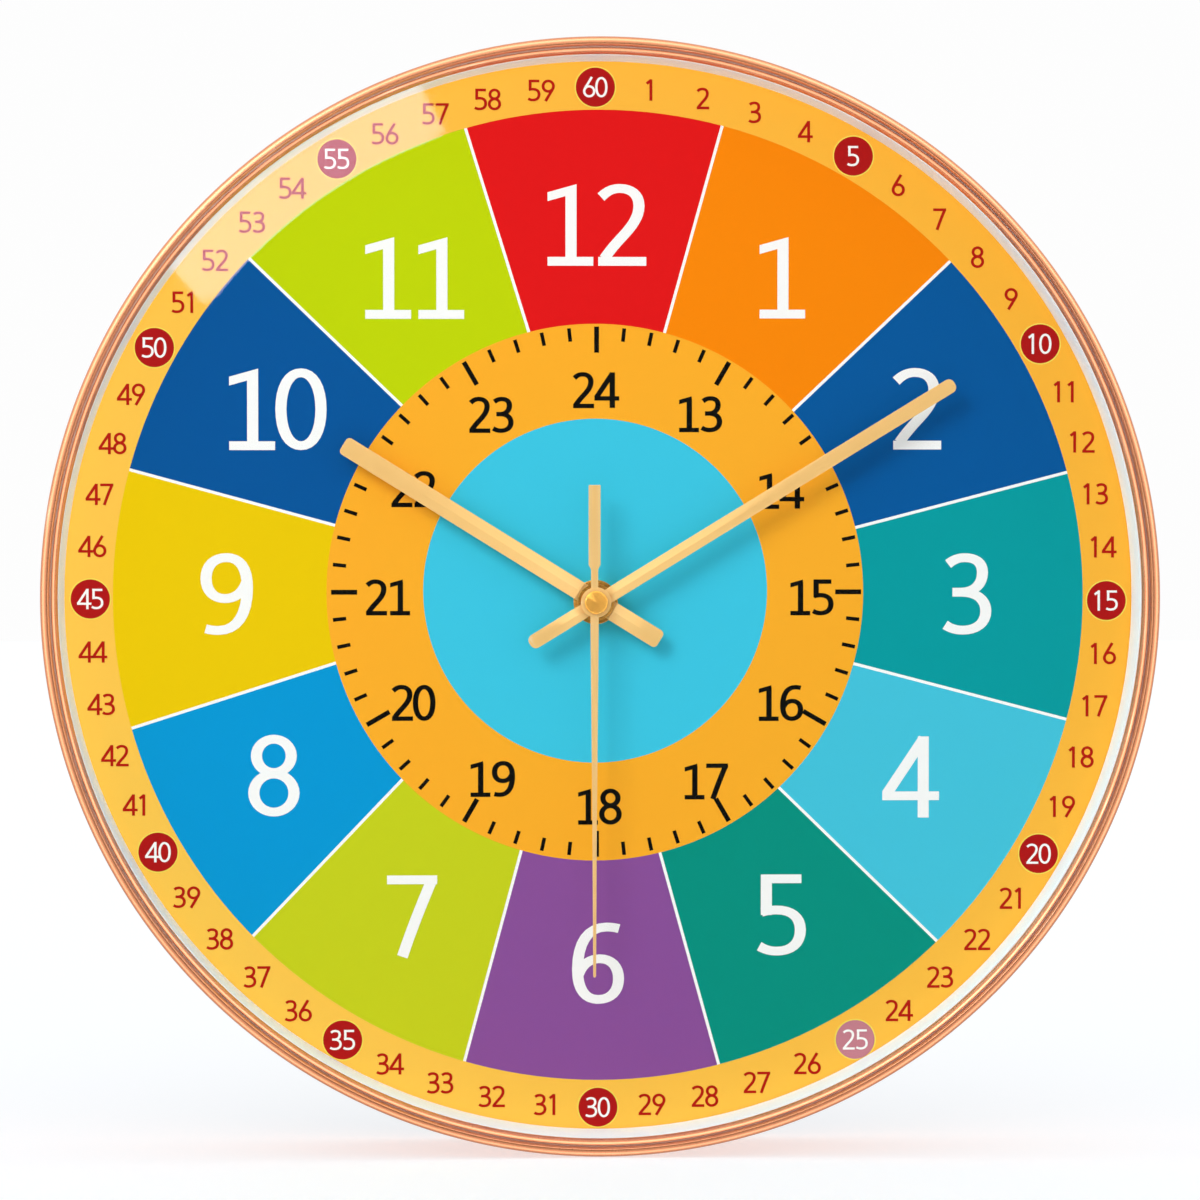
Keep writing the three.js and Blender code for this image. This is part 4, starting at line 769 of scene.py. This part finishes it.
def handStations(length, half, endRound, hubReach, ridge):
    # full width from inside the hub to the rounded corners of the end, with a ridge that fades outwards
    root, fade, steps = hubReach + 2, 0.85, 6
    stations = [(hubReach - 1.2, half, 0.0), (hubReach, half, ridge * 0.9), (root, half, ridge)]
    flatEnd = length - endRound
    for share in (0.25, 0.5, 0.75, 1):
        stations.append((root + (flatEnd - root) * share, half, ridge * (1 - fade * share)))
    for k in range(1, steps + 1):
        turn = math.radians(90 * k / steps)
        distance, inset = flatEnd + endRound * math.sin(turn), endRound * (1 - math.cos(turn))
        stations.append((distance, half - inset, ridge * (1 - fade) * (1 - k / steps)))
    return stations


def turnHand(bm, angle):
    # turns a hand drawn towards 12 and sets it on its axis
    bmesh.ops.rotate(bm, verts=bm.verts, cent=(0, 0, 0), matrix=Matrix.Rotation(math.radians(angle), 3, "Y"))
    bmesh.ops.translate(bm, verts=bm.verts, vec=flatPoint(handAxis))


def softEdges(bm, offset, least=40, segments=2):
    sharp = [e for e in bm.edges if len(e.link_faces) == 2 and e.calc_face_angle(0) > math.radians(least)]
    bmesh.ops.bevel(bm, geom=sharp, offset=offset * mm, segments=segments, profile=0.5, affect="EDGES",
                    material=-1, clamp_overlap=True)


def handMaterial(name, angle, **shade):
    # the drawn grain of anodised aluminium follows the hand's own length
    material = shadeMaterial(name, {**metalLooks["goldAnodised"], **shade})
    for node in material.node_tree.nodes:
        if node.type == "MAPPING":
            node.inputs["Rotation"].default_value = (0, -math.radians(angle), 0)
            node.inputs["Scale"].default_value = (1, 1, 0.04)
    return material


def straightHand(name, hand, body, node):
    bm = bmesh.new()
    half = hand["width"] / 2
    for length, direction in ((hand["length"], 1), (hand["tail"], -1)):
        stations = handStations(length, half, hand["endRound"], hand["sink"], hand["ridge"])
        blade(bm, stations, hand, hand["thickness"], direction)
    softEdges(bm, 0.08)
    top = hand["rear"] + hand["thickness"]
    hubSection = softened([(hand["bore"], hand["rear"]), (hand["hub"], hand["rear"]), (hand["hub"], top),
                           (hand["sink"], top), (hand["bore"], top)], hubRounding)
    bladeFaces = set(bm.faces)
    spun(bm, hubSection, 72)
    for face in bm.faces:
        face.material_index = face not in bladeFaces
    turnHand(bm, hand["angle"])
    gold = handMaterial(name + "_gold", hand["angle"])
    finishPiece(bm, name, [gold, finishes["turnedBrass"]], body, [node], "hand_gold", smoothAngle=15)


straightHand("hour_pointer", hourHand, "hour_group", "hour_hand")
straightHand("minute_pointer", minuteHand, "minute_group", "minute_hand")


def sweepHand():
    bm = bmesh.new()
    ridge = secondHand["ridge"]
    for stations, direction in ((secondHand["blade"], 1), (secondHand["tail"], -1)):
        shaped = [(distance, half, ridge) for distance, half in stations]
        blade(bm, shaped, secondHand, secondHand["thickness"] - ridge, direction)
    softEdges(bm, 0.05, 50, 1)
    top = secondHand["rear"] + secondHand["thickness"]
    spun(bm, softened([(secondHand["bore"], secondHand["rear"]), (secondHand["hub"], secondHand["rear"]),
                       (secondHand["hub"], top), (secondHand["bore"], top)], hubRounding), 72)
    turnHand(bm, secondHand["angle"])
    gold = handMaterial("second_gold", secondHand["angle"], colour="#fccb80")
    finishPiece(bm, "second_pointer", [gold], "second_group", ["second_hand"], "hand_gold")


sweepHand()
cap = {
    "section": [(0, 32.3, 0), (3.0, 32.3), (3.15, 32.45), (3.15, 32.95, 0.12), (2.8, 33.2),
                (0.2, 33.78, 0.05), (0, 33.8, 0)],
    "rounding": 0.1,
}
# the two points on the axis stay single
spunPiece("hub_button", softened(cap["section"], cap["rounding"])[3:-3], finishes["turnedBrass"],
          "second_group", ["hub_cap"], "brass", 96, handAxis, smoothAngle=30)
print("hands and hub made")

carried = {
    "blackMouldedAbs": ["back_cover", "movement_front_case", "chip_blob"],
    "greyMouldedAbs": ["movement_back_case", "setting_knob"],
    "platedSteel": ["coil_core", "stator_plate", "quartz_crystal", "battery_contact_negative",
                    "battery_contact_positive"] + [f"back_screw_{i}" for i in range(1, 7)],
    "turnedBrass": ["threaded_bush", "dial_washer", "dial_nut", "cannon_pinion", "hour_hand_collet",
                    "minute_hand_collet", "second_hand_tube"],
    "naturalAcetal": ["train_bridge", "coil_bobbin", "rotor_pinion", "fifth_wheel", "seconds_wheel",
                      "third_wheel", "centre_wheel", "minute_wheel", "hour_wheel", "setting_arbor"],
    "sheetRubber": ["rubber_washer"],
    "phenolicLaminate": ["circuit_board"],
    "sinteredFerrite": ["rotor_magnet"],
    "enamelledCopper": ["coil_winding"],
    "shrunkSleeve": ["battery_cell"],
}
for finish, names in carried.items():
    for name in names:
        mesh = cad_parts[name].data
        mesh.materials.clear()
        mesh.materials.append(finishes[finish])
print("CAD pieces dressed:", sum(len(names) for names in carried.values()))

view = {
    "azimuth": -2.0,
    "elevation": 1.5,
    "distance": 1.35,
    "sensor": 36,
    "rimPlane": 0.015,
    "widthAtRim": 0.3223,
    "aim": (0.0001, 0, -0.00102),
}


def setCamera():
    camera = bpy.data.cameras.new("portrait_camera")
    camera.sensor_width = view["sensor"]
    camera.lens = view["sensor"] * (view["distance"] - view["rimPlane"]) / view["widthAtRim"]
    obj = bpy.data.objects.new("portrait_camera", camera)
    scene.collection.objects.link(obj)
    azimuth, elevation = math.radians(view["azimuth"]), math.radians(view["elevation"])
    away = Vector((math.sin(azimuth) * math.cos(elevation), -math.cos(azimuth) * math.cos(elevation),
                   math.sin(elevation)))
    obj.location = Vector(view["aim"]) + away * view["distance"]
    obj.rotation_euler = (-away).to_track_quat("-Z", "Y").to_euler()
    scene.camera = obj


setCamera()

paperSweep = {
    "size": 4,
    "height": -0.1502,
    "colour": (0.9, 0.935, 0.945, 1),
    # the camera sees this share of it lit from within, which keeps it white, and the rest keeps the shadow
    "litShare": 0.4,
    "litColour": (0.955, 0.968, 1, 1),
    "litStrength": 1.5,
}


def stageFloor():
    bm = bmesh.new()
    bmesh.ops.create_grid(bm, x_segments=4, y_segments=4, size=paperSweep["size"])
    mesh = bpy.data.meshes.new("studio_floor")
    bm.to_mesh(mesh)
    bm.free()
    floor = bpy.data.objects.new("studio_floor", mesh)
    floor.location = (0, 0, paperSweep["height"])
    scene.collection.objects.link(floor)
    material = emptyMaterial("whitePaperSweep")
    path = addNode(material, "ShaderNodeLightPath")
    share = addNode(material, "ShaderNodeMath", {"operation": "MULTIPLY", 1: paperSweep["litShare"]},
                    {0: path.outputs["Is Camera Ray"]})
    matt = addNode(material, "ShaderNodeBsdfDiffuse", {"Color": paperSweep["colour"]})
    white = addNode(material, "ShaderNodeEmission",
                    {"Color": paperSweep["litColour"], "Strength": paperSweep["litStrength"]})
    mix = addNode(material, "ShaderNodeMixShader", links={
        0: share.outputs[0], 1: matt.outputs[0], 2: white.outputs[0]})
    clear = addNode(material, "ShaderNodeBsdfTransparent")
    seen = addNode(material, "ShaderNodeMixShader", links={
        0: path.outputs["Is Glossy Ray"], 1: mix.outputs[0], 2: clear.outputs[0]})
    addNode(material, "ShaderNodeOutputMaterial", links={"Surface": seen.outputs[0]})
    mesh.materials.append(material)


stageFloor()


def addLamp(name, where, target, size, power, colour=(1, 1, 1)):
    lamp = bpy.data.lights.new(name, "AREA")
    lamp.shape = "RECTANGLE"
    lamp.size, lamp.size_y = size
    lamp.energy = power
    lamp.color = colour
    obj = bpy.data.objects.new(name, lamp)
    obj.location = where
    obj.rotation_euler = (Vector(target) - Vector(where)).to_track_quat("-Z", "Y").to_euler()
    scene.collection.objects.link(obj)
    return obj


key = {
    "where": (-0.95, -1.25, 1.0),
    "size": (0.8, 0.8),
    "power": 18,
    "glint": 7,
}
keyLamp = addLamp("key_softbox", key["where"], (0, 0, 0), key["size"], key["power"])
# what shines mirrors a dimmer panel at the same place, so that no highlight burns out
glintLamp = addLamp("key_glint", key["where"], (0, 0, 0), key["size"], key["glint"])
keyLamp.visible_glossy = False
glintLamp.visible_diffuse = False


def spareFrom(lamp, role, names):
    # the named pieces block no light of this lamp, or catch none of it
    spared = bpy.data.collections.new(lamp.name + "_" + role)
    for name in names:
        spared.objects.link(bpy.data.objects[name])
    for entry in spared.collection_objects:
        entry.light_linking.link_state = "EXCLUDE"
    setattr(lamp.light_linking, role, spared)


# the photographed rim and spacer throw no shadow on the dial, and the floor has only a soft one
for lamp in (keyLamp, glintLamp):
    spareFrom(lamp, "blocker_collection", ["rim_ring", "bezel_slope", "spacer_wall"])
spareFrom(keyLamp, "receiver_collection", ["studio_floor"])


window = {
    "angles": (307, 341),  # the dial angles between which the glass mirrors it
    "slope": (131.5, 138.5, 145.5),  # inner, middle and outer radius of the glass's sloping edge
    "slopeRise": 0.6,
    "reach": 0.8,
    "spare": 0.012,  # added to the height of the panel
    "radiance": 7.1,
    "colour": (0.68, 0.71, 0.92),
}


def windowPanel():
    # cool daylight at the upper left: a slim light panel where the glass's sloping edge mirrors it
    tilt = math.atan(glass["crown"] / (glass["lipRadius"] - glass["flatRadius"]))
    start, end = window["angles"]
    inner, half, outer = window["slope"]
    depth = glass["rear"] + glass["thickness"] + window["slopeRise"]
    spots = []
    between = (start + end) / 2
    for angle, radius in ((start, half), (end, half), (between, inner), (between, outer)):
        turn = math.radians(angle)
        point = place(radius * math.sin(turn), radius * math.cos(turn), depth)
        normal = Vector((math.sin(tilt) * math.sin(turn), -math.cos(tilt), math.sin(tilt) * math.cos(turn)))
        ray = (point - scene.camera.location).normalized()
        mirrored = ray - 2 * ray.dot(normal) * normal
        spots.append(point + mirrored * window["reach"])
    middle = (spots[0] + spots[1] + spots[2] + spots[3]) / 4
    long = spots[1] - spots[0]
    towards = -middle.normalized()
    side = long.normalized()
    up = side.cross(towards).normalized()
    heights = [(p - middle).dot(up) for p in spots]
    high = max(heights) - min(heights) + window["spare"]
    lamp = addLamp("window_panel", middle, (0, 0, 0), (long.length, high),
                   window["radiance"] * math.pi * long.length * high, window["colour"])
    lamp.matrix_world = Matrix((
        (side.x, -up.x, -towards.x, middle.x), (side.y, -up.y, -towards.y, middle.y),
        (side.z, -up.z, -towards.z, middle.z), (0, 0, 0, 1)))


windowPanel()

room = {
    "ambient": 0.79,
    "white": 0.985,
    # what shines sees this strength at each angle from straight in front: a dim patch that keeps the glass
    # clear, pale walls, bright side panels and white behind
    "rings": [(0, 0.02), (18, 0.02), (24, 1.2), (43, 1.3), (50, 4.3), (65, 4.3), (75, 1.2), (115, 1.0)],
    # a little brighter towards the ceiling: between these two heights, from this factor to that
    "height": (-0.5, 0.5, 0.85, 1.15),
}


def studioWorld():
    # plain ambient light, white for the camera, and a soft room for what shines
    world = bpy.data.worlds.new("studio_tent")
    scene.world = world
    world.use_nodes = True
    world.node_tree.nodes.clear()
    path = addNode(world, "ShaderNodeLightPath")
    direction = addNode(world, "ShaderNodeTexCoord").outputs["Generated"]
    split = addNode(world, "ShaderNodeSeparateXYZ", links={0: direction})
    towards = addNode(world, "ShaderNodeMath", {"operation": "MULTIPLY", 1: -1}, {0: split.outputs["Y"]})
    angle = addNode(world, "ShaderNodeMath", {"operation": "ARCCOSINE"}, {0: towards.outputs[0]})
    share = addNode(world, "ShaderNodeMath", {"operation": "DIVIDE", 1: math.pi}, {0: angle.outputs[0]})
    ramp = addNode(world, "ShaderNodeValToRGB", links={"Fac": share.outputs[0]})
    brightest = max(level for _, level in room["rings"])
    elements = ramp.color_ramp.elements
    elements.remove(elements[0])
    for i, (degrees, level) in enumerate(room["rings"]):
        spot = elements[0] if i == 0 else elements.new(degrees / 180)
        spot.position = degrees / 180
        spot.color = (level / brightest,) * 3 + (1,)
    scaled = addNode(world, "ShaderNodeMath", {"operation": "MULTIPLY", 1: brightest},
                     {0: ramp.outputs["Color"]})
    low, high, start, end = room["height"]
    lift = addNode(world, "ShaderNodeMapRange",
                   {"From Min": low, "From Max": high, "To Min": start, "To Max": end},
                   {"Value": split.outputs["Z"]})
    strength = addNode(world, "ShaderNodeMath", {"operation": "MULTIPLY"},
                       {0: scaled.outputs[0], 1: lift.outputs["Result"]}).outputs[0]
    glossy = addNode(world, "ShaderNodeBackground", {"Color": (1, 1, 1, 1)}, {"Strength": strength})
    ambient = addNode(world, "ShaderNodeBackground", {"Color": (1, 1, 1, 1), "Strength": room["ambient"]})
    white = addNode(world, "ShaderNodeBackground", {"Color": (room["white"],) * 3 + (1,), "Strength": 1.0})
    first = addNode(world, "ShaderNodeMixShader", links={
        0: path.outputs["Is Glossy Ray"], 1: ambient.outputs[0], 2: glossy.outputs[0]})
    second = addNode(world, "ShaderNodeMixShader", links={
        0: path.outputs["Is Camera Ray"], 1: first.outputs[0], 2: white.outputs[0]})
    third = addNode(world, "ShaderNodeMixShader", links={
        0: path.outputs["Is Transmission Ray"], 1: second.outputs[0], 2: white.outputs[0]})
    addNode(world, "ShaderNodeOutputWorld", links={"Surface": third.outputs[0]})


studioWorld()
print("room, lamps and camera set")
